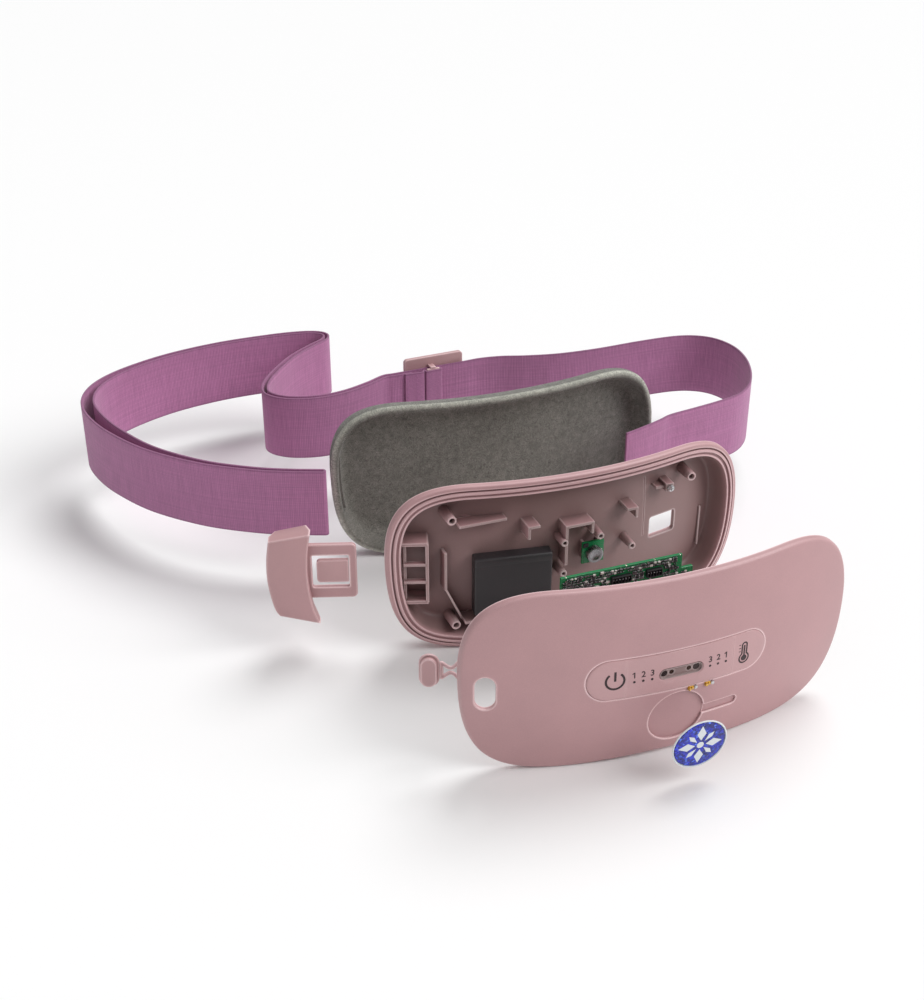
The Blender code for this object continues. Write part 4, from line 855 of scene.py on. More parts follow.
class POD_OT_front_cover(bpy.types.Operator):
    """Crowned front cover with its rounded edge, pockets, slot and press pins"""

    bl_idname = "pod.front_cover"
    bl_label = "Front cover"

    def execute(self, context):
        s = Millimetres(context)
        face, inner, back = cover_levels(s)
        wall = 2.4
        profile = (
            (6.5, face), (3.2, face), (1.5, face + 0.02), (0.95, face + 0.07), (0.55, face + 0.2),
            (0.25, face + 0.42), (0.07, face + 0.75), (0.0, face + 1.15), (0.0, back - 1.0),
            (0.06, back - 0.9), (0.3, back - 0.82), (0.36, back - 0.7), (0.36, back - 0.2), (0.55, back),
            (wall - 0.2, back), (wall, back - 0.2), (wall, inner + 0.6), (wall + 0.3, inner + 0.18),
            (wall + 1.2, inner))
        cover = pod_shell("cover_shell", s, profile)
        pins = []
        for x, z in CORNER_POSTS:
            y = bowed(s, x, z)
            pins.append(turned("pin", x, z, ((1.2, y + inner - 0.7), (1.2, y + 4.9), (0.8, y + 5.5)), 24))
        weld(cover, pins)
        half, tall = s.panel_long / 2 + PANEL_ROOM, s.panel_tall / 2 + PANEL_ROOM
        tools = [
            well("panel_well", s, (0.0, s.panel_z), half, tall, face, face + PANEL_WELL, 0.2),
            round_well("badge_well", s, s.badge + 0.3, face, face + BADGE_POCKET),
            well("thumb_well", s, (20.0, s.badge_z), 11.0, 2.3, face, face + THUMB_WELL, 0.25),
        ]
        y = bowed(s, KEY_X, 0.0)
        for x in (-KEY_X, KEY_X):
            tools.append(plate("stem_way", disc(x, KEY_Z, 2.6, 32), y + face + 0.6, y + inner + 3.0))
        low, high = port_z(s) - s.port_tall / 2, port_z(s) + s.port_tall / 2
        port = pill(-s.port_long / 2, s.port_long / 2, low, high)
        tools.append(plate("port_way", port, face + 0.6, inner + 2.0))
        steps = ((1.3, -0.9), (0.0, 0.45), (0.0, 4.5))
        way = pill_stack("button_way", (0.0, 0.0), s.slot_wide / 2, s.slot_tall / 2, steps)
        turn(way, yaw_at(s, s.slot_x))
        tools.append(shift(way, (s.slot_x, bowed(s, s.slot_x, 0.0) + face, 0.0)))
        cut(cover, tools)
        done(cover, "cover", "shell", "front_cover")
        return {"FINISHED"}


def port_z(s):
    """Height of the charging slot's middle."""
    return s.panel_z - 1.0


def print_on(name, s, outlines, level, body):
    """Printed signs: thin plates that lie on the panel."""
    plates = [laid(plate("sign", points, level - INK_OUT, level + INK_IN), 3.0, s) for points in outlines]
    done(joined(name, plates), body, "print_ink")


class POD_OT_control_panel(bpy.types.Operator):
    """Control panel with its two keys, printed signs, numbers and level lamps"""

    bl_idname = "pod.control_panel"
    bl_label = "Control panel"

    def execute(self, context):
        s = Millimetres(context)
        level = cover_levels(s)[0] - PANEL_PROUD
        z0, z1 = s.panel_z - s.panel_tall / 2, s.panel_z + s.panel_tall / 2
        end = s.panel_long / 2
        hair = 0.045

        def cap(name, x0, x1, round_left, round_right):
            steps = ((-0.8, level), (-0.45, level + 0.05), (-0.18, level + 0.2), (0.0, level + 0.55),
                     (0.0, level + 1.2))
            outlines = [(half_pill(x0, x1, z0 - grow, z1 + grow, round_left, round_right, grow), y)
                        for grow, y in steps]
            return laid(layers(name, outlines), 4.0, s)
        middle = cap("panel_middle", -s.key_split + hair, s.key_split - hair, False, False)
        half, low, high = s.port_long / 2, port_z(s) - s.port_tall / 2, port_z(s) + s.port_tall / 2
        steps = ((1.0, level - 0.5), (0.0, level + 0.5), (0.0, level + 2.0))
        way = layers("way", [(pill(-half - g, half + g, low - 1.7 * g, high + g), y) for g, y in steps])
        cut(middle, [laid(way, 4.0, s)])
        done(middle, "cover", "panel", "control_panel")
        for side, name in ((-1, "power"), (1, "heat")):
            x0, x1 = sorted((side * s.key_split, side * end))
            key = cap(f"{name}_cap", x0, x1, side < 0, side > 0)
            stem_y = bowed(s, KEY_X, 0.0)
            weld(key, [plate("stem", disc(side * KEY_X, KEY_Z, 2.2, 32), stem_y + level + 0.7, 1.75)])
            done(key, f"{name}_button", "panel", f"{name}_key")
        px, pz = -31.0, s.panel_z
        ring = stroke(arc(px, pz, 4.1, 128, 412, 48), 1.0)
        bar = stroke([(px, pz - 0.1), (px, pz + 2.4), (px, pz + 4.7)], 1.0)
        print_on("power_sign", s, [ring, bar], level, "power_button")
        print_on("heat_sign", s, thermometer(32.0, s.panel_z - 0.6), level, "heat_button")
        dots, digits = [], []
        for side in (-1, 1):
            for place, number in zip(LAMPS, "123"):
                dots.append(disc(side * place, s.panel_z - 1.9, 0.6, 20))
                digits.append(number_at(number, side * place, s.panel_z + 0.1, level, s))
        print_on("level_lamps", s, dots, level, "cover")
        for x in (-LAMPS[0], LAMPS[0]):
            flag = stroke([(x - 1.0, s.panel_z + 2.2), (x - 0.1, s.panel_z + 2.9)], 0.42)
            digits.append(bow(plate("flag", flag, level - INK_OUT, level + INK_IN), s))
        done(joined("level_numbers", digits), "cover", "print_ink")
        return {"FINISHED"}


def half_pill(x0, x1, z0, z1, round_left, round_right, grow):
    """A rectangle whose ends are square or half round. Only its round ends move as it grows."""
    r = (z1 - z0) / 2
    mid = (z0 + z1) / 2
    right = arc(x1 - r + grow, mid, r, -90, 90, 24) if round_right else [(x1, z0), (x1, z1)]
    left = arc(x0 + r - grow, mid, r, 90, 270, 24) if round_left else [(x0, z1), (x0, z0)]
    return right + left


def thermometer(x, z):
    """Outlines of a thermometer sign: glass, bulb and column, and three scale marks."""
    bulb, tube, top = 2.5, 1.25, 6.4
    join = math.degrees(math.asin(tube / bulb))
    glass = arc(x, z - 2.6, bulb, 90 + join, 450 - join, 36)
    glass += arc(x, z + top - tube - 1.0, tube, 0, 180, 12) + [glass[0]]
    column = stroke([(x, z - 2.6), (x, z + 1.0), (x, z + 4.0)], 0.8)
    marks = [stroke([(x - 3.0, z + 4.6 - k * 1.7), (x - 2.0, z + 4.6 - k * 1.7)], 0.3) for k in range(3)]
    return [stroke(glass, 0.72), disc(x, z - 2.6, 1.5, 28), column] + marks


def number_at(text, x, z, level, s):
    """A printed number, as a thin mesh on the panel."""
    clear_selection()
    bpy.ops.object.text_add(rotation=(math.pi / 2, 0.0, 0.0))
    sign = bpy.context.object
    for setting, value in (("body", text), ("size", 4.2), ("align_x", "CENTER"), ("extrude", 0.06),
                           ("offset", 0.04)):
        setattr(sign.data, setting, value)
    bpy.ops.object.convert(target="MESH")
    sign = bpy.context.object
    bpy.ops.object.transform_apply(location=False, rotation=True, scale=False)
    edit(sign)
    bpy.ops.mesh.remove_doubles(threshold=0.0005)
    bpy.ops.object.mode_set(mode="OBJECT")
    return bow(shift(sign, (x, level - 0.01, z)), s)


# Charging contacts: name, place, radius and finish
CONTACTS = (
    ("charge_magnet_left", -8.0, 1.5, "gunmetal"), ("charge_pin_left", -4.4, 1.0, "bronze"),
    ("charge_pin_right", 4.0, 1.0, "bronze"), ("charge_magnet_right", 7.6, 1.5, "gunmetal"))


class POD_OT_charge_port(bpy.types.Operator):
    """Charging slot with two magnets and two pins, and the badge's brass clips"""

    bl_idname = "pod.charge_port"
    bl_label = "Charging port"

    def execute(self, context):
        s = Millimetres(context)
        face = cover_levels(s)[0]
        deck = face - 0.05 + 0.9
        long, tall, mid = s.port_long / 2 - 0.15, s.port_tall / 2 - 0.15, port_z(s)
        steps = ((0.0, deck + 1.6), (0.0, deck - 0.85), (-0.12, deck - 0.98), (-0.3, deck - 0.9),
                 (-0.42, deck))
        port = pill_stack("port_tray", (0.0, mid), long, tall, steps)
        holes = [plate("hole", disc(x, mid, r + 0.15, 32), deck - 1.0, deck + 1.3)
                 for _, x, r, _ in CONTACTS]
        cut(port, holes)
        done(port, "cover", "port_shade", "charge_port")
        for name, x, r, metal in CONTACTS:
            steps = ((0.35, 0.12), (0.7, 0.04), (0.92, 0.08), (1.0, 0.18), (1.0, 1.0))
            contact = turned(f"{name}_button", x, mid, [(r * k, deck + y) for k, y in steps], 32)
            done(contact, "cover", metal, name)
        for name, x in (("badge_clip_left", 6.0), ("badge_clip_right", 14.5)):
            y = bowed(s, x, -8.6) + face
            leaf = box(f"{name}_leaf", (x - 2.1, y - 0.36, -9.5), (x + 0.9, y - 0.06, -7.5), 0.12)
            heel = box("heel", (x - 1.9, y - 1.3, -9.3), (x - 0.9, y - 0.2, -7.8), 0.2)
            toe = box("toe", (x - 0.5, y - 0.9, -8.9), (x + 0.7, y - 0.2, -8.0), 0.2)
            done(weld(leaf, [heel, toe]), "cover", "brass", name)
            steps = ((0.5, -0.95), (0.85, -0.8), (1.0, -0.5), (1.0, -0.06))
            bead = turned(f"{name}_bead", x + 1.7, -8.4, [(r, y + d) for r, d in steps], 24)
            done(bead, "cover", "steel")
        return {"FINISHED"}


class POD_OT_badge(bpy.types.Operator):
    """Loose badge: enamel dish, glitter face and a plain rosette of lozenges"""

    bl_idname = "pod.badge"
    bl_label = "Badge"

    def execute(self, context):
        s = Millimetres(context)
        face = cover_levels(s)[0]
        back = face + BADGE_POCKET - s.gap
        front = back - 2.2
        z, r = s.badge_z, s.badge
        shapes = ((r - 2.4, back), (r - 1.9, back - 0.1), (r - 0.6, front + 0.95), (r - 0.08, front + 0.6),
                  (r, front + 0.35), (r - 0.12, front + 0.1), (r - 0.3, front), (r - 0.55, front),
                  (r - 0.72, front + 0.15), (r - 0.95, back - 1.25))
        done(bow(turned("badge_rim", 0.0, z, shapes, 96), s), "badge", "enamel", "badge_dish")
        level = front + 0.1
        shapes = ((r - 1.3, level), (r - 1.05, level + 0.2), (r - 1.05, back - 1.3))
        done(laid(turned("badge_glitter", 0.0, z, shapes, 96), 4.0, s), "badge", "glitter", "badge_face")
        signs = []
        near, mid = 2.6, 6.2
        for k in range(8):
            cosine, sine = math.cos(math.radians(45.0 * k)), math.sin(math.radians(45.0 * k))
            far, wide = (10.6, 2.2) if k % 2 == 0 else (8.6, 1.2)
            spots = ((near, 0.0), (mid, wide), (far, 0.0), (mid, -wide))
            signs.append([(u * cosine - v * sine, z + u * sine + v * cosine) for u, v in spots])
        signs.append(disc(0.0, z, 1.7, 24))
        motif = [laid(plate("motif", points, level - 0.05, level + 0.12), 3.0, s) for points in signs]
        done(joined("badge_rosette", motif), "badge", "enamel")
        return {"FINISHED"}


# One leg of the release spring, along and across
BOW_LEG = ((-0.2, 3.8), (1.4, 2.5), (3.0, 1.4), (4.6, 1.6), (6.8, 3.9), (9.2, 6.2), (12.9, 6.9))


class POD_OT_release(bpy.types.Operator):
    """Release spring with two pinched bow legs, and its paddle"""

    bl_idname = "pod.release"
    bl_label = "Release"

    def execute(self, context):
        s = Millimetres(context)
        yaw = yaw_at(s, s.slot_x)
        lip = bowed(s, s.slot_x, 0.0) - s.cover_skirt - s.gap
        front, back = s.cover_face + 1.7, s.cover_face + 2.8
        w, h = s.slot_wide / 2 - s.gap, s.slot_tall / 2 - s.gap
        start = w + 1.8

        def seat(thing):
            return shift(turn(thing, yaw), (s.slot_x, lip, 0.0))

        def strip(name, points, soft):
            return soften(plate(name, points, front, back), soft)
        spring = strip("release_bow", rounded(start - 1.2, start + 0.4, -4.6, 4.6, 0.5), 0.2)
        legs = []
        for side in (1, -1):
            run = [(start + along, side * across) for along, across in BOW_LEG]
            legs.append(strip("leg", stroke(smooth_line(run, 6), 1.5), 0.25))
        legs.append(strip("anchor", rounded(start + 12.3, start + 13.9, -7.4, 7.4, 0.7), 0.2))
        weld(spring, legs)
        done(seat(spring), "release", "shell", "release_spring")
        gap, sink = 0.6, 1.6
        flange = plate("flange", pill(-w - 0.2, w + 0.5, -h - 0.5, h + 0.5), front, back)
        soften(flange, 0.3, 3)
        shapes = ((-gap - 0.7, sink + 0.12), (-gap - 0.25, sink), (-gap, sink + 0.3), (-gap, back - 0.2))
        paddle = pill_stack("release_paddle", (0.0, 0.0), w, h, shapes)
        weld(paddle, [flange])
        done(seat(paddle), "release_paddle", "inlay", "release_button")
        return {"FINISHED"}


def smooth_line(points, steps):
    """Points of a smooth curve through given points."""
    out = []
    for i in range(len(points) - 1):
        p0, p1 = Vector(points[max(0, i - 1)]), Vector(points[i])
        p2, p3 = Vector(points[i + 1]), Vector(points[min(len(points) - 1, i + 2)])
        for k in range(steps):
            t = k / steps
            spot = 2 * p1 + (p2 - p0) * t + (2 * p0 - 5 * p1 + 4 * p2 - p3) * t * t
            out.append(tuple((spot + (3 * p1 - p0 - 3 * p2 + p3) * t ** 3) * 0.5))
    return out + [tuple(points[-1])]


class POD_OT_housing(bpy.types.Operator):
    """Rear housing: stepped rim, bowl, hollow posts, brackets, ribs, tongue socket and wire window"""

    bl_idname = "pod.housing"
    bl_label = "Rear housing"

    def execute(self, context):
        s = Millimetres(context)
        deep = s.case_depth
        floor = deep - s.case_wall
        step = s.pad_thick + s.gap
        r = s.rim
        profile = (
            (15.0, deep), (12.6, deep - 0.35), (10.8, deep - 1.0), (9.2, deep - 2.1), (8.0, deep - 3.5),
            (6.9, 0.68 * deep), (6.0, 0.55 * deep), (5.1, 0.42 * deep), (step + 0.4, s.band + 1.2),
            (step, s.band + 0.3), (step, s.band), (0.2, s.band), (0.0, s.band - 0.25), (0.0, 0.75),
            (0.12, 0.38), (0.35, 0.12), (0.7, 0.0), (1.9, 0.0), (2.06, 0.06), (2.15, 0.25), (2.15, 1.3),
            (2.95, 1.3), (2.95, -0.05), (3.03, -0.22),
            (3.25, -0.3), (3.95, -0.3), (4.17, -0.22), (4.27, -0.02), (4.35, 0.9), (5.45, 1.15), (5.52, 0.7),
            (5.62, 0.52), (5.85, 0.45), (r - 0.25, 0.5), (r - 0.08, 0.62), (r, 0.95), (r + 0.6, 3.0),
            (r + 1.1, 0.36 * floor), (r + 1.7, 0.55 * floor), (r + 2.4, 0.72 * floor),
            (r + 3.2, 0.86 * floor), (r + 4.1, floor - 0.6), (r + 4.9, floor - 0.1), (r + 5.8, floor))
        shell = pod_shell("housing_shell", s, profile)
        weld(shell, housing_bosses(s, floor + 1.0))
        cut(shell, housing_cuts(s, floor, deep))
        # Painted shade: points deeper inside the bowl take more of the darker case colour, and outward faces
        # take none
        shade = shell.data.attributes.new("inside", "FLOAT", "POINT")
        for vertex, value in zip(shell.data.vertices, shade.data):
            depth = vertex.co.y - bowed(s, vertex.co.x, vertex.co.z)
            value.value = share((depth - 1.0) / 3.0) if depth < floor + 0.2 else 0.0
        for ring_vertex in outer_points(shell, s, deep):
            shade.data[ring_vertex].value = 0.0
        done(shell, "housing", "case", "rear_housing")
        return {"FINISHED"}


def outer_points(shell, s, deep):
    """Which points of the housing face outwards: those whose normal leads away from the bowl's middle."""
    middle = Vector((0.0, 0.25 * deep, 0.0))
    return [v.index for v in shell.data.vertices
            if v.normal.dot(Vector((v.co.x, v.co.y - bowed(s, v.co.x, v.co.z), v.co.z)) - middle) > 0.0
            and v.normal.y > -0.35]


# Ribs in the housing: left, right, low, high and the depth of the tip
RIBS = (
    (-60.5, -36.0, 23.8, 25.2, 13.0), (-66.4, -65.0, -12.7, 8.6, 18.0), (-57.6, -40.0, -31.0, -29.6, 12.5),
    (-7.9, -6.4, -3.8, 18.4, 6.0), (-7.3, 7.4, 16.9, 18.4, 6.0), (6.0, 7.4, 11.6, 17.5, 6.0),
    (-27.6, -26.2, 14.6, 21.6, 6.4), (-27.0, -21.2, 20.2, 21.6, 6.4), (30.0, 31.4, 15.4, 21.4, 6.6),
    (25.4, 30.6, 20.0, 21.4, 6.6), (49.6, 54.0, 22.8, 27.2, 13.2), (45.0, 50.2, 24.2, 25.6, 15.0),
    (3.6, 5.0, -5.4, 4.4, 10.2), (12.0, 13.4, -5.4, 4.4, 10.2), (77.6, 78.5, -21.0, 2.0, 26.7))
SEAM_X = 40.5
SOCKET = Vector((-96.4, 29.5, 0.0))
SOCKET_YAW = 18.0
# The buckle's tongue: its length, its play in the socket and half its height and thickness
TONGUE_LONG, TONGUE_CLEAR = 22.6, 0.4
HALF_TALL, HALF_THICK = 15.0, 1.5
STRAP_SEAT = 1.9
SCREW = (51.8, 25.0)


def in_socket(thing):
    """Turn and carry a piece from the tongue's own axes to the pod."""
    return shift(turn(thing, -SOCKET_YAW), SOCKET)


def housing_bosses(s, root):
    """Posts, ribs and the socket grid, before they are moulded onto the bowl."""
    made = []
    for k, (x, z) in enumerate(CORNER_POSTS + BOARD_POSTS):
        y = bowed(s, x, z)
        corner = k < len(CORNER_POSTS)
        tip, radius = (y + CORNER_TIP, 2.35) if corner else (BOARD_BACK + s.gap, 1.85)
        steps = ((radius - 0.3, tip), (radius - 0.08, tip + 0.08), (radius, tip + 0.3),
                 (radius + 0.5, y + root))
        made.append(turned("post", x, z, steps, 36))
    for x0, x1, z0, z1, tip in RIBS:
        y = bowed(s, (x0 + x1) / 2, (z0 + z1) / 2) + root
        made.append(box("rib", (x0, tip, z0), (x1, y, z1), 0.25))
    slant = [(-66.2, -12.0), (-65.0, -12.4), (-56.6, -30.9), (-57.8, -30.9)]
    made.append(plate("slant", slant, 18.0, bowed(s, -61.0, -21.0) + root))
    half = HALF_TALL + TONGUE_CLEAR
    grid, low = -(HALF_THICK + 4.3), 5.2
    for u0, u1, z0, z1, v0, v1 in (
            (11.7, 24.0, half, half + 1.8, grid, low), (11.7, 24.0, -half - 1.8, -half, grid, low),
            (22.8, 24.4, -half - 0.9, half + 0.9, grid, low),
            (12.1, 13.6, -half - 0.9, half + 0.9, -4.0, -2.6),
            (12.2, 23.6, 4.2, 5.6, grid, -2.6), (12.2, 23.6, -5.6, -4.2, grid, -2.6)):
        made.append(in_socket(box("socket", (u0, v0, z0), (u1, v1, z1), 0.2)))
    return made


def housing_cuts(s, floor, deep):
    """Bores, tongue way, window, seam line, strap seat and screw hole."""
    made = []
    for k, (x, z) in enumerate(CORNER_POSTS + BOARD_POSTS):
        corner = k < len(CORNER_POSTS)
        tip, bore = (bowed(s, x, z) + CORNER_TIP, 1.5) if corner else (BOARD_BACK + s.gap, 0.98)
        steps = ((bore + 1.0, tip - 0.9), (bore, tip + 0.2), (bore, tip + 7.5))
        made.append(turned("bore", x, z, steps, 28))
    half, thick = HALF_TALL + TONGUE_CLEAR, HALF_THICK
    made.append(in_socket(box("way", (-6.0, -thick - 0.4, -half), (TONGUE_LONG + s.gap, thick + 0.4, half))))
    made.append(in_socket(box("flap_room", (2.0, 0.0, -7.9), (15.6, thick + 2.0, 7.9))))
    y = bowed(s, 52.0, 0.0)
    made.append(plate("window", rounded(44.4, 60.6, -5.6, 6.2, 1.4), y + 0.4 * floor, y + deep + 9.0))
    seam = rounded(SEAM_X - 0.22, SEAM_X + 0.22, -3.0, 30.0, 0.2, 3)
    made.append(laid(plate("seam", seam, floor - 2.0, floor + 0.35), 4.0, s))
    seat = s.strap_wide / 2 + 0.6
    corners = [(62.6, -seat), (102.0, -seat), (102.0, seat), (62.6, seat)]
    made.append(laid(plate("strap_seat", corners, deep - STRAP_SEAT, deep + 25.0), 4.0, s))
    made.append(plate("screw_hole", disc(*SCREW, 1.1, 24), 11.0, 18.0))
    return made


class POD_OT_inside(bpy.types.Operator):
    """Battery, vibration motor module and bracket screw in the housing"""

    bl_idname = "pod.inside"
    bl_label = "Battery and motor"

    def execute(self, context):
        s = Millimetres(context)
        wide, thick, tall = 39.0, 7.4, 32.0
        bx, bz = -34.0, -10.3
        y = bowed(s, bx, bz) + s.case_depth - s.case_wall - thick - 1.1
        pack = box("battery_wrap", (-wide / 2, 0.0, -tall / 2), (wide / 2, thick, tall / 2), 0.9, 4)
        fold = box("fold", (-wide / 2 + 0.4, -0.12, tall / 2 - 4.2),
                   (wide / 2 - 0.4, 1.2, tall / 2 - 0.6), 0.1)
        weld(pack, [fold])
        done(shift(turn(pack, yaw_at(s, bx)), (bx, y, bz)), "housing", "wrap", "battery_pack")
        mx, mz = MOTOR_IN_POD.x / MM, MOTOR_IN_POD.z / MM
        base = 8.7
        card = box("motor_card", (mx - 5.9, base, mz - 5.6), (mx + 5.9, base + 1.2, mz + 6.4), 0.1)
        done(card, "housing", "mask", "motor_board")
        chip = box("motor_driver", (mx - 5.5, base - 0.9, mz + 3.9), (mx - 2.9, base - 0.02, mz + 6.0), 0.1)
        done(chip, "housing", "epoxy")
        steps = ((2.2, base - 3.0), (2.5, base - 3.18), (3.9, base - 3.2), (4.2, base - 3.05),
                 (4.3, base - 2.8), (4.3, base - 0.3))
        can = turned("motor_cap", mx, mz, steps, 64)
        done(can, "housing", "nickel", "motor_can")
        steps = ((1.1, 11.45), (1.55, 11.62), (1.8, 12.0), (1.8, 12.9), (0.8, 13.0), (0.8, 17.2))
        head = turned("screw_head", *SCREW, steps, 40)
        cross = [box("cross", (50.7, 11.0, 24.82), (52.9, 12.1, 25.18)),
                 box("cross", (51.62, 11.0, 23.9), (51.98, 12.1, 26.1))]
        done(cut(head, cross), "housing", "steel", "bracket_screw")
        return {"FINISHED"}


# Parts on the board: name, left, right, low, high, height and finish
CHIPS = (
    ("main_chip", -17.0, -8.0, -9.0, 0.0, 1.2, "epoxy"),
    ("charge_chip", 14.0, 19.0, -10.0, -5.0, 1.0, "epoxy"),
    ("power_inductor", 21.5, 27.5, -11.5, -5.5, 1.9, "wrap"),
    ("storage_capacitor", -26.0, -20.0, -11.0, -7.5, 1.8, "ivory"),
    ("battery_connector", -6.0, 4.0, 12.4, 16.4, 2.0, "epoxy"),
    ("heater_connector", 12.0, 20.0, 12.4, 16.4, 2.0, "epoxy"),
    ("power_switch", -35.5, -30.5, 1.0, 6.0, 0.6, "steel"),
    ("heat_switch", 30.5, 35.5, 1.0, 6.0, 0.6, "steel"))


class POD_OT_circuit(bpy.types.Operator):
    """Main board with its chips, connectors, switches and rows of small soldered parts"""

    bl_idname = "pod.circuit"
    bl_label = "Circuit board"

    def execute(self, context):
        face = BOARD_BACK - BOARD_THICK
        w, n, low, step, top = 37.0, 31.0, -13.0, 13.0, 20.5
        points = [(-w, low), (w, low), (w, step), (n, step), (n, top), (-n, top), (-n, step), (-w, step)]
        board = plate("board_sheet", points, face, BOARD_BACK)
        holes = [plate("hole", disc(x, z, 1.0, 20), face - 1.0, BOARD_BACK + 1.0) for x, z in BOARD_POSTS]
        done(soften(cut(board, holes), 0.12, 1), "circuit", "mask", "main_board", smooth=25.0)
        for name, x0, x1, z0, z1, tall, tone in CHIPS:
            body = box(f"{name}_case", (x0, face - tall - 0.05, z0), (x1, face - 0.05, z1), 0.18)
            x, z = (x0 + x1) / 2, (z0 + z1) / 2
            if "switch" in name:
                weld(body, [turned("dome", x, z, ((1.6, face - tall), (1.5, face - tall - 0.12)), 24)])
            if "connector" in name:
                ways = int((x1 - x0) / 1.6)
                pitch = (x1 - x0 - 0.6) / ways
                cut(body, [box("way", (x0 + 0.45 + k * pitch, face - tall - 1.0, z0 + 0.5),
                               (x0 + 0.15 + (k + 1) * pitch, face - 0.5, z1 - 0.5)) for k in range(ways)])
                rows = [x0 + 0.3 + (k + 0.5) * pitch for k in range(ways)]
                pins = [box("pin", (row - 0.25, face - tall + 0.5, z - 0.25),
                            (row + 0.25, face - 0.45, z + 0.25), 0.08, 1) for row in rows]
                done(joined(f"{name}_pins", pins), "circuit", "nickel")
            done(body, "circuit", tone, name)
        self.legs(face)
        self.small_parts(face)
        return {"FINISHED"}

    def legs(self, face):
        """Flat legs along two sides of the main and charging chips."""
        spots = []
        for _, x0, x1, z0, z1, *_ in CHIPS[:2]:
            count = int((x1 - x0) / 0.8)
            for k in range(count):
                x = x0 + (k + 0.5) * (x1 - x0) / count
                for z, way in ((z0, -1), (z1, 1)):
                    a, b = sorted((z, z + way * 0.9))
                    spots.append(((x - 0.2, face - 0.3, a), (x + 0.2, face - 0.06, b)))
        done(scatter("chip_legs", unit_box("leg", 0.12), spots), "circuit", "steel")

    def small_parts(self, face):
        """Rows of small soldered parts in three tones with bright ends, laid out with a fixed seed."""
        dice = random.Random(7)
        kinds = {"epoxy": [], "ivory": [], "wrap": []}
        ends = []
        taken = [(x0 - 0.4, x1 + 0.4, z0 - 1.0, z1 + 1.0) for _, x0, x1, z0, z1, *_ in CHIPS]
        taken += [(x - 1.8, x + 1.8, z - 1.8, z + 1.8) for x, z in BOARD_POSTS]
        z = -12.4
        while z < 19.4:
            reach = 36.2 if z < 11.2 else 30.2
            x = -reach
            while x < reach - 2.6:
                wide, tall = dice.choice(((1.1, 0.6), (1.3, 0.7), (1.6, 0.8), (1.6, 0.8), (2.2, 1.15)))
                clear = all(x + wide < a or x > b or z + tall < c or z > d for a, b, c, d in taken)
                if clear and dice.random() < 0.94:
                    high = dice.uniform(0.4, 0.75) + 0.22 * tall
                    cap = 0.15 * wide
                    tone = dice.choice(("epoxy", "epoxy", "epoxy", "ivory", "wrap", "wrap"))
                    kinds[tone].append(((x + cap, face - high, z), (x + wide - cap, face - 0.05, z + tall)))
                    for a, b in ((x, x + cap + 0.02), (x + wide - cap - 0.02, x + wide)):
                        ends.append(((a, face - high - 0.02, z - 0.02), (b, face - 0.04, z + tall + 0.02)))
                x += wide + dice.uniform(0.15, 0.45)
            z += 1.36
        for tone, spots in kinds.items():
            done(scatter(f"small_parts_{tone}", unit_box("part", 0.06), spots), "circuit", tone)
        done(scatter("small_part_ends", unit_box("end", 0.12), ends), "circuit", "nickel")


SHIELD_RIGHT = ((4.0, -25.2), (1.4, -18.0), (-0.3, -9.0), (-1.0, 0.0), (-0.7, 9.0), (0.2, 17.0), (1.2, 22.8))
SHIELD_LEFT = ((-18.8, 19.6), (-20.2, 10.0), (-20.5, 0.0), (-19.5, -9.0), (-17.6, -17.0), (-15.6, -20.6))
# Where the strap bar stands in the shield
BAR_X, BAR_Y = -9.5, 3.4


def shield_outline(grow):
    """The buckle shield beside the pod's end: hollow on its right and swelling on its left."""
    kx, kz = 1.0 + grow / 9.6, 1.05 + grow / 24.6
    points = smooth_line(SHIELD_RIGHT, 5) + smooth_line(SHIELD_LEFT, 5)
    return [(-9.0 + (x + 9.0) * kx, z * kz) for x, z in points]


class POD_OT_buckle(bpy.types.Operator):
    """Buckle: hollow shield with a tongue, its strap bar and its snap tab"""

    bl_idname = "pod.buckle"
    bl_label = "Buckle"

    def execute(self, context):
        s = Millimetres(context)
        front, half = -7.0, HALF_THICK - 0.25
        shapes = ((-0.9, front), (-0.3, front + 0.22), (0.0, front + 0.8), (0.0, -2.0), (-2.4, 6.6),
                  (-2.8, 7.0))
        shield = layers("buckle_shield", [(shield_outline(g), y) for g, y in shapes])
        shapes = ((-2.6, front + 3.0), (-2.6, -2.0), (-5.8, 10.0))
        room = layers("room", [(shield_outline(g), y) for g, y in shapes])
        opening = s.strap_wide / 2 - 3.0
        mouth = box("mouth", (-24.0, front + 4.0, -opening), (-10.0, 10.0, opening), 0.6)
        cut(shield, [room, mouth])
        tongue = plate("tongue", rounded(-4.0, TONGUE_LONG, -HALF_TALL, HALF_TALL, 2.4), -half, half)
        weld(shield, [soften(tongue, 0.45, 3)])
        gap = soften(box("gap", (1.0, -half - 1.0, -9.0), (18.9, half + 1.0, 9.0)), 0.7, 3)
        bar_hole = upright("hole", 2.3, 37.8)
        cut(shield, [gap, bar_hole])
        done(in_socket(shield), "buckle", "shell", "buckle")
        bar = upright("bar_rod", 2.0, 37.2, 0.3)
        done(in_socket(bar), "buckle", "steel", "strap_bar")
        root, free, side, corner = 18.6, 3.2, 6.2, 1.8
        points = [(root, -side), (root, side)]
        points += arc(free + corner, side - corner, corner, 90, 180, 8)
        points += arc(free + corner, corner - side, corner, 180, 270, 8)
        tab = soften(plate("snap_flap", points, -half, half), 0.35, 3)
        done(in_socket(tab), "snap", "inlay", "snap_tab")
        return {"FINISHED"}


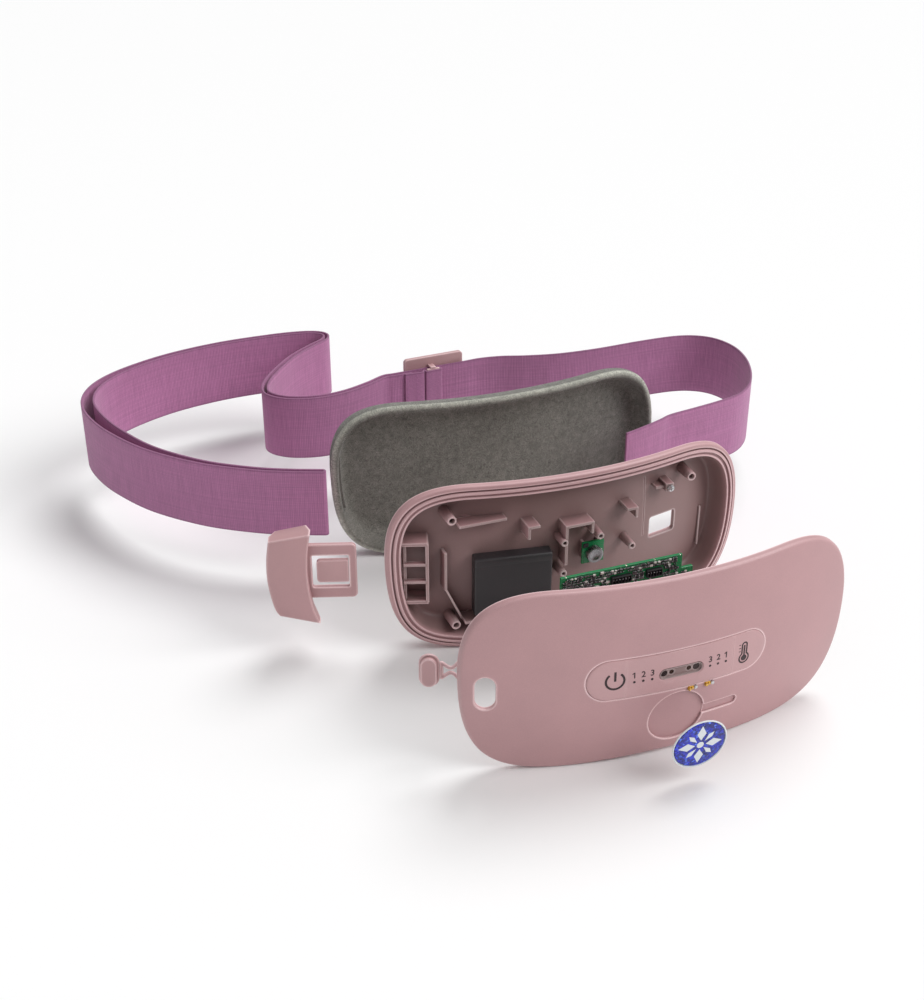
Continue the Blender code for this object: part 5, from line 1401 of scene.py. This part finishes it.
def upright(name, radius, long, ease=0.0):
    """A round rod on the strap bar's upright line, with eased ends."""
    steps = [(radius, -long / 2 + ease), (radius, long / 2 - ease)]
    if ease:
        steps = [(radius - ease, -long / 2), *steps, (radius - ease, long / 2)]
    angles = [2 * math.pi * k / 40 for k in range(40)]
    rings = [[(BAR_X + r * math.cos(a), BAR_Y + r * math.sin(a), z) for a in angles] for r, z in steps]
    return ring_loft(name, rings)


# Plan route of the strap in the closed pod, buckle end first
STRAP_LEFT = (
    (-103.0, 42.5), (-120.0, 49.5), (-137.0, 58.3), (-160.0, 75.0), (-182.0, 100.0), (-196.0, 127.0),
    (-203.0, 149.0), (-205.0, 168.0), (-201.0, 184.0), (-191.0, 198.0), (-174.0, 210.0), (-148.0, 221.0),
    (-116.0, 227.5), (-84.0, 228.5), (-66.0, 227.0), (-55.0, 223.4), (-51.0, 217.6), (-54.5, 210.8),
    (-66.0, 203.0), (-81.0, 190.5), (-97.0, 171.0), (-105.0, 156.5), (-105.5, 145.0), (-96.0, 135.5),
    (-80.0, 131.0), (-64.0, 132.5), (-48.0, 138.5))
STRAP_RIGHT = (
    (40.0, 147.4), (54.0, 143.0), (74.0, 138.8), (99.0, 137.6), (128.0, 138.9), (152.0, 138.4),
    (166.0, 134.0), (175.0, 125.0), (179.0, 110.0), (176.5, 92.0), (169.0, 73.5), (159.0, 58.6),
    (147.0, 49.4), (131.0, 44.8), (114.0, 41.6))
SLIDER = Vector((-3.5, 146.2))
SLIDER_YAW = 3.0
# Half the distance between the doubled layers, and how much it grows round one place
STRAP_LAP, STRAP_BULGE = 1.4, 2.2
BULGE_PLACE, BULGE_REACH = Vector((-203.0, 150.0)), 60.0
ROUTE_STEPS = 7


def beside(route, amounts):
    """A route moved sideways, to its left, by an amount at each point."""
    moved = []
    for i, p in enumerate(route):
        along = (route[min(len(route) - 1, i + 1)] - route[max(0, i - 1)]).normalized()
        moved.append(p + Vector((-along.y, along.x)) * amounts[i])
    return moved


def slider_spot(u, v=0.0):
    """A point beside the stretch that the adjuster runs on."""
    a = math.radians(SLIDER_YAW)
    return SLIDER + Vector((u * math.cos(a) - v * math.sin(a), u * math.sin(a) + v * math.cos(a)))


def strap_route(s):
    """Middle line of the webbing: back layer to the buckle loop, front layer, then the single tail."""
    run = [tuple(p) for p in STRAP_LEFT] + [tuple(slider_spot(u)) for u in (-33, -27, -21, -15.6)]
    lap = [Vector(p) for p in smooth_line(run, ROUTE_STEPS)]
    away = [(p - BULGE_PLACE).length / BULGE_REACH for p in lap]
    bulge = [STRAP_LAP + STRAP_BULGE * math.exp(-far ** 2) for far in away]
    front, back = beside(lap, bulge), beside(lap, [-b for b in bulge])
    along = (lap[0] - lap[1]).normalized()
    across = Vector((-along.y, along.x))
    fold = [lap[0] + across * bulge[0] * math.cos(a) + along * bulge[0] * math.sin(a)
            for a in (math.radians(22.5 * k) for k in range(1, 8))]
    seat = s.case_depth - STRAP_SEAT + bowed(s, 0.0, s.strap_wide / 2) + 1.4 * s.gap + s.strap_thick / 2
    tail = [(x, bowed(s, x, 0.0) + seat) for x in (98.0, 90.0, 82.0, 73.0, 64.0)]
    single = [tuple(slider_spot(u, STRAP_LAP)) for u in (-12, 8, 20, 31)]
    rest = [Vector(p) for p in smooth_line(single + list(STRAP_RIGHT) + tail, ROUTE_STEPS)]
    return list(reversed(back)) + fold + front[:-1] + rest


def webbing(name, route, wide, thick):
    """Webbing on its edge: a grid laid along a route and thickened. Gives its length too."""
    clear_selection()
    columns = len(route)
    bpy.ops.mesh.primitive_grid_add(x_subdivisions=columns - 1, y_subdivisions=10, size=1.0, calc_uvs=True)
    thing = bpy.context.object
    thing.name = thing.data.name = name
    run = [0.0]
    for a, b in zip(route, route[1:]):
        run.append(run[-1] + (b - a).length)
    for vertex in thing.data.vertices:
        i = round((vertex.co.x + 0.5) * (columns - 1))
        vertex.co = (route[i].x, route[i].y, vertex.co.y * wide)
    layer = thing.data.uv_layers.active.data
    for loop in thing.data.loops:
        uv = layer[loop.index].uv
        uv.x = run[min(columns - 1, round(uv.x * (columns - 1)))] / run[-1]
    with_modifier(thing, "SOLIDIFY", thickness=thick, offset=0.0, use_even_offset=True)
    return thing, run[-1]


class POD_OT_strap(bpy.types.Operator):
    """Elastic webbing, doubled to the buckle and single to the pod"""

    bl_idname = "pod.strap"
    bl_label = "Strap"

    def execute(self, context):
        s = Millimetres(context)
        strap, run = webbing("strap_webbing", strap_route(s), s.strap_wide, s.strap_thick)
        soften(strap, 0.3, 2, 60.0)
        done(strap, "strap", "webbing", "strap", smooth=50.0)
        s.strap_wide * MM
        return {"FINISHED"}


class POD_OT_adjuster(bpy.types.Operator):
    """Three-bar adjuster with the strap end sewn round its middle bar"""

    bl_idname = "pod.adjuster"
    bl_label = "Adjuster"

    def execute(self, context):
        s = Millimetres(context)
        long, tall, rail = 18.7, 25.2, 3.6
        behind = s.strap_thick / 2 + 0.6
        near, thick = -s.strap_thick / 2 - 3.8, 1.8
        place = slider_spot(0.0, STRAP_LAP)

        def seat(thing):
            return shift(turn(thing, SLIDER_YAW), (place.x, place.y, 0.0))
        bar = plate("adjuster_frame", rounded(-long, long, -tall, tall, 2.2), behind, behind + 2.6)
        inner = s.strap_wide / 2 + 0.4
        half, aside = 4.0, -2.4
        opening = rounded(-long + rail, long - rail, 1.8 - inner, inner - 1.8, 1.2)
        window = plate("window", opening, -9.0, 9.0)
        soften(cut(bar, [window]), 0.6, 3, 50.0)
        tip = inner + 0.2
        posts = [box("bridge", (aside - 1.6, near + 0.2, z0), (aside + 1.6, behind + 1.4, z1), 0.3, 3)
                 for z0, z1 in ((inner - 0.1, inner + 1.2), (-inner - 1.2, 0.1 - inner))]
        posts.append(box("middle", (aside - half, near, -tip), (aside + half, near + thick, tip), 0.5, 3))
        weld(bar, posts)
        done(seat(bar), "adjuster", "inlay", "adjuster")
        gap, cloth = s.gap, 1.0
        u = half + gap + cloth / 2
        v0, v1 = near - gap - cloth / 2, near + thick + gap + cloth / 2
        loop = [
            (-1.6, v1), (u - 0.9, v1), (u - 0.25, v1 - 0.25), (u, v1 - 0.9), (u, v0 + 0.9),
            (u - 0.25, v0 + 0.25), (u - 0.9, v0), (0.0, v0), (0.6 - u, v0), (-u, v0 + 0.6),
            (-u - 0.2, v0 + 1.9), (-u - 0.8, v0 + 2.4), (-u - 1.4, v0 + 1.9), (-u - 1.6, v0 + 0.8),
            (-u - 2.3, v0 + 0.3), (-u - 5.0, v0 + 0.4), (-u - 9.2, v0 + 0.7), (-u - 13.2, v0 + 0.95)]
        route = [Vector(p) + Vector((aside, 0.0)) for p in smooth_line(loop, 3)]
        band, run = webbing("sewn_band", route, s.strap_wide, cloth)
        done(seat(band), "adjuster", "loop_webbing", "sewn_loop", smooth=50.0)
        s.strap_wide * MM
        spots = []
        for reach in (6.0, 11.8):
            x = aside - u - reach
            y = v0 + 0.4 + 0.3 * (reach - 5.0) / 4.6 - cloth / 2
            for k in range(15):
                z = (k - 7) * 2.4
                spots.append(((x - 0.2, y - 0.16, z - 0.85), (x + 0.2, y + 0.1, z + 0.85)))
        stitches = scatter("loop_stitches", unit_box("stitch", 0.3, 2), spots)
        done(seat(stitches), "adjuster", "thread")
        return {"FINISHED"}


class POD_OT_pad(bpy.types.Operator):
    """Felt pad: a moulded dish with a painted highlight along its front rim, and the flap that fills its
    notch for the strap
    """

    bl_idname = "pod.pad"
    bl_label = "Rear pad"

    def execute(self, context):
        s = Millimetres(context)
        step, case = s.pad_thick, s.case_depth
        deep = case + 1.2
        start = s.band + s.gap
        # Depth up to which the front rim takes the painted highlight
        edge = start + 0.75
        profile = (
            (14.4, deep + step), (11.2, deep + step - 0.5), (9.0, deep + step - 1.1),
            (6.6, deep + step - 2.5), (4.8, deep - 0.2), (3.2, 0.87 * deep), (1.9, 0.74 * deep),
            (0.9, 0.6 * deep), (0.4, 0.48 * deep), (0.08, start + 2.4), (0.0, start + 1.5),
            (0.1, start + 0.8), (0.45, start + 0.3), (1.1, start),
            (2.2, start - 0.05), (step - 1.0, start), (step - 0.4, start + 0.25), (step - 0.05, start + 0.7),
            (4.3, 0.36 * case), (5.4, 0.55 * case), (6.3, 0.7 * case), (7.5, case - 2.7), (8.7, case - 0.9),
            (10.2, case + 0.1), (12.2, case + 0.8), (14.6, deep))
        pad = pod_shell("pad_felt", s, profile)
        half = s.strap_wide / 2 + 0.9
        far = bowed(s, 98.0, 0.0) + case + 2.0
        slot = HALF_THICK + 0.9
        tongue = box("slot", (-20.0, -slot, -HALF_TALL - 0.9), (24.0, slot + 1.3, HALF_TALL + 0.9))
        flap = pad.copy()
        flap.data = pad.data.copy()
        flap.name = flap.data.name = "pad_flap"
        bpy.context.scene.collection.objects.link(flap)
        near, end, slit = 79.0, 110.0, 0.12
        cut(pad, [box("notch", (near, -1.0, -half), (end, far, half)), in_socket(tongue)])
        keep = box("keep", (near + slit, -1.0, -half + slit), (end, far - slit, half - slit))
        combine(flap, [keep], "INTERSECT")
        self.shade(pad, s, edge)
        self.shade(flap, s, edge)
        done(pad, "pad", "felt", "rear_pad", smooth=50.0)
        done(flap, "pad", "felt", smooth=50.0)
        anchor = POD + OUT["pad"] + Vector((90.0, far, 0.0)) * MM
        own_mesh(flap)
        return {"FINISHED"}

    def shade(self, pad, s, edge):
        """Mark how far each point takes the painted highlight along the front rim."""
        rim = pad.data.attributes.new("rim_highlight", "FLOAT", "POINT")
        outline = pod_outline(s)
        for vertex, value in zip(pad.data.vertices, rim.data):
            x, y, z = vertex.co
            front = share((edge + 0.5 - y + bowed(s, x, z)) / 0.5)
            if front:
                inset = min(math.hypot(px - x, pz - z) for px, pz, _, _ in outline)
                value.value = front * share((2.6 - inset) / 1.2)


# The photograph's view in the closed pod's frame: millimetres, degrees and pixels
CAMERA_PLACE = Vector((-273.15, -555.9, 377.2))
CAMERA_DOWN, CAMERA_YAW = 29.0498, -20.6044
FOCAL_PIXELS, PHOTO_PIXELS, SENSOR = 1475.55, 1000.0, 36.0


class POD_OT_stage(bpy.types.Operator):
    """Pale floor, soft studio light and the camera"""

    bl_idname = "pod.stage"
    bl_label = "Stage"

    def execute(self, context):
        self.floor()
        self.lamps(context)
        self.camera(context)
        context.scene.view_settings.view_transform = "Standard"
        return {"FINISHED"}

    def floor(self):
        """A wide pale floor just under the feet."""
        clear_selection()
        bpy.ops.mesh.primitive_plane_add(size=14.0, location=(0.0, 3.0, -0.0002))
        floor = bpy.context.object
        floor.name = "studio_floor"
        new_finish("floor_paint", Base_Color=(0.93, 0.93, 0.93, 1.0), Roughness=0.7, Specular_IOR_Level=0.15)
        floor.data.materials.append(bpy.data.materials["floor_paint"])

    def lamps(self, context):
        """Two soft suns from the right, one behind and one in front, and an even pale surround."""
        clear_selection()
        for name, power, spread_angle, turn_to in (("back_sun", 1.5, 32.0, (32.0, 0.0, 128.0)),
                                                   ("front_sun", 1.65, 40.0, (50.0, 0.0, 52.0))):
            bpy.ops.object.light_add(type="SUN", location=(0.0, 0.0, 2.0))
            lamp = bpy.context.object
            lamp.name = name
            lamp.data.energy = power
            lamp.data.angle = math.radians(spread_angle)
            lamp.rotation_euler = [math.radians(v) for v in turn_to]
        world = context.scene.world or bpy.data.worlds.new("surround")
        context.scene.world = world
        world.use_nodes = True
        sky = world.node_tree.nodes["Background"]
        sky.inputs["Color"].default_value = (1.0, 1.0, 1.0, 1.0)
        sky.inputs["Strength"].default_value = 0.34

    def camera(self, context):
        """A camera at the photograph's view."""
        bpy.ops.object.camera_add()
        camera = bpy.context.object
        camera.name = "photo_view"
        camera.location = POD + CAMERA_PLACE * MM
        camera.rotation_euler = (math.radians(90.0 - CAMERA_DOWN), 0.0, math.radians(CAMERA_YAW))
        camera.data.sensor_width = SENSOR
        camera.data.lens = FOCAL_PIXELS / PHOTO_PIXELS * SENSOR
        camera.data.clip_end = 40.0
        context.scene.camera = camera


class POD_PT_panel(bpy.types.Panel):
    """Lists the pod's pieces"""

    bl_idname = "POD_PT_panel"
    bl_label = "Belt pod"
    bl_space_type = "VIEW_3D"
    bl_region_type = "UI"
    bl_category = "Belt pod"

    def draw(self, context):
        for piece in PIECES:
            self.layout.operator(piece.bl_idname)
        for group in (context.scene.pod_sizes, context.scene.pod_colours):
            column = self.layout.column()
            for name in group.__annotations__:
                column.prop(group, name)


PIECES = (
    POD_OT_finishes, POD_OT_front_cover, POD_OT_control_panel, POD_OT_charge_port, POD_OT_badge,
    POD_OT_release, POD_OT_housing, POD_OT_inside, POD_OT_circuit, POD_OT_buckle, POD_OT_strap,
    POD_OT_adjuster, POD_OT_pad, POD_OT_stage)
CLASSES = (PodSizes, PodColours, *PIECES, POD_PT_panel)


def register():
    """Register the classes and hang the settings on the scene."""
    for entry in CLASSES:
        bpy.utils.register_class(entry)
    bpy.types.Scene.pod_sizes = bpy.props.PointerProperty(type=PodSizes)
    bpy.types.Scene.pod_colours = bpy.props.PointerProperty(type=PodColours)


def unregister():
    """Take the settings and classes away again."""
    del bpy.types.Scene.pod_colours
    del bpy.types.Scene.pod_sizes
    for entry in reversed(CLASSES):
        bpy.utils.unregister_class(entry)


def main():
    """Build every piece in order."""
    register()
    for piece in PIECES:
        group, name = piece.bl_idname.split(".")
        getattr(getattr(bpy.ops, group), name)()
    clear_selection()


if __name__ == "__main__":
    main()
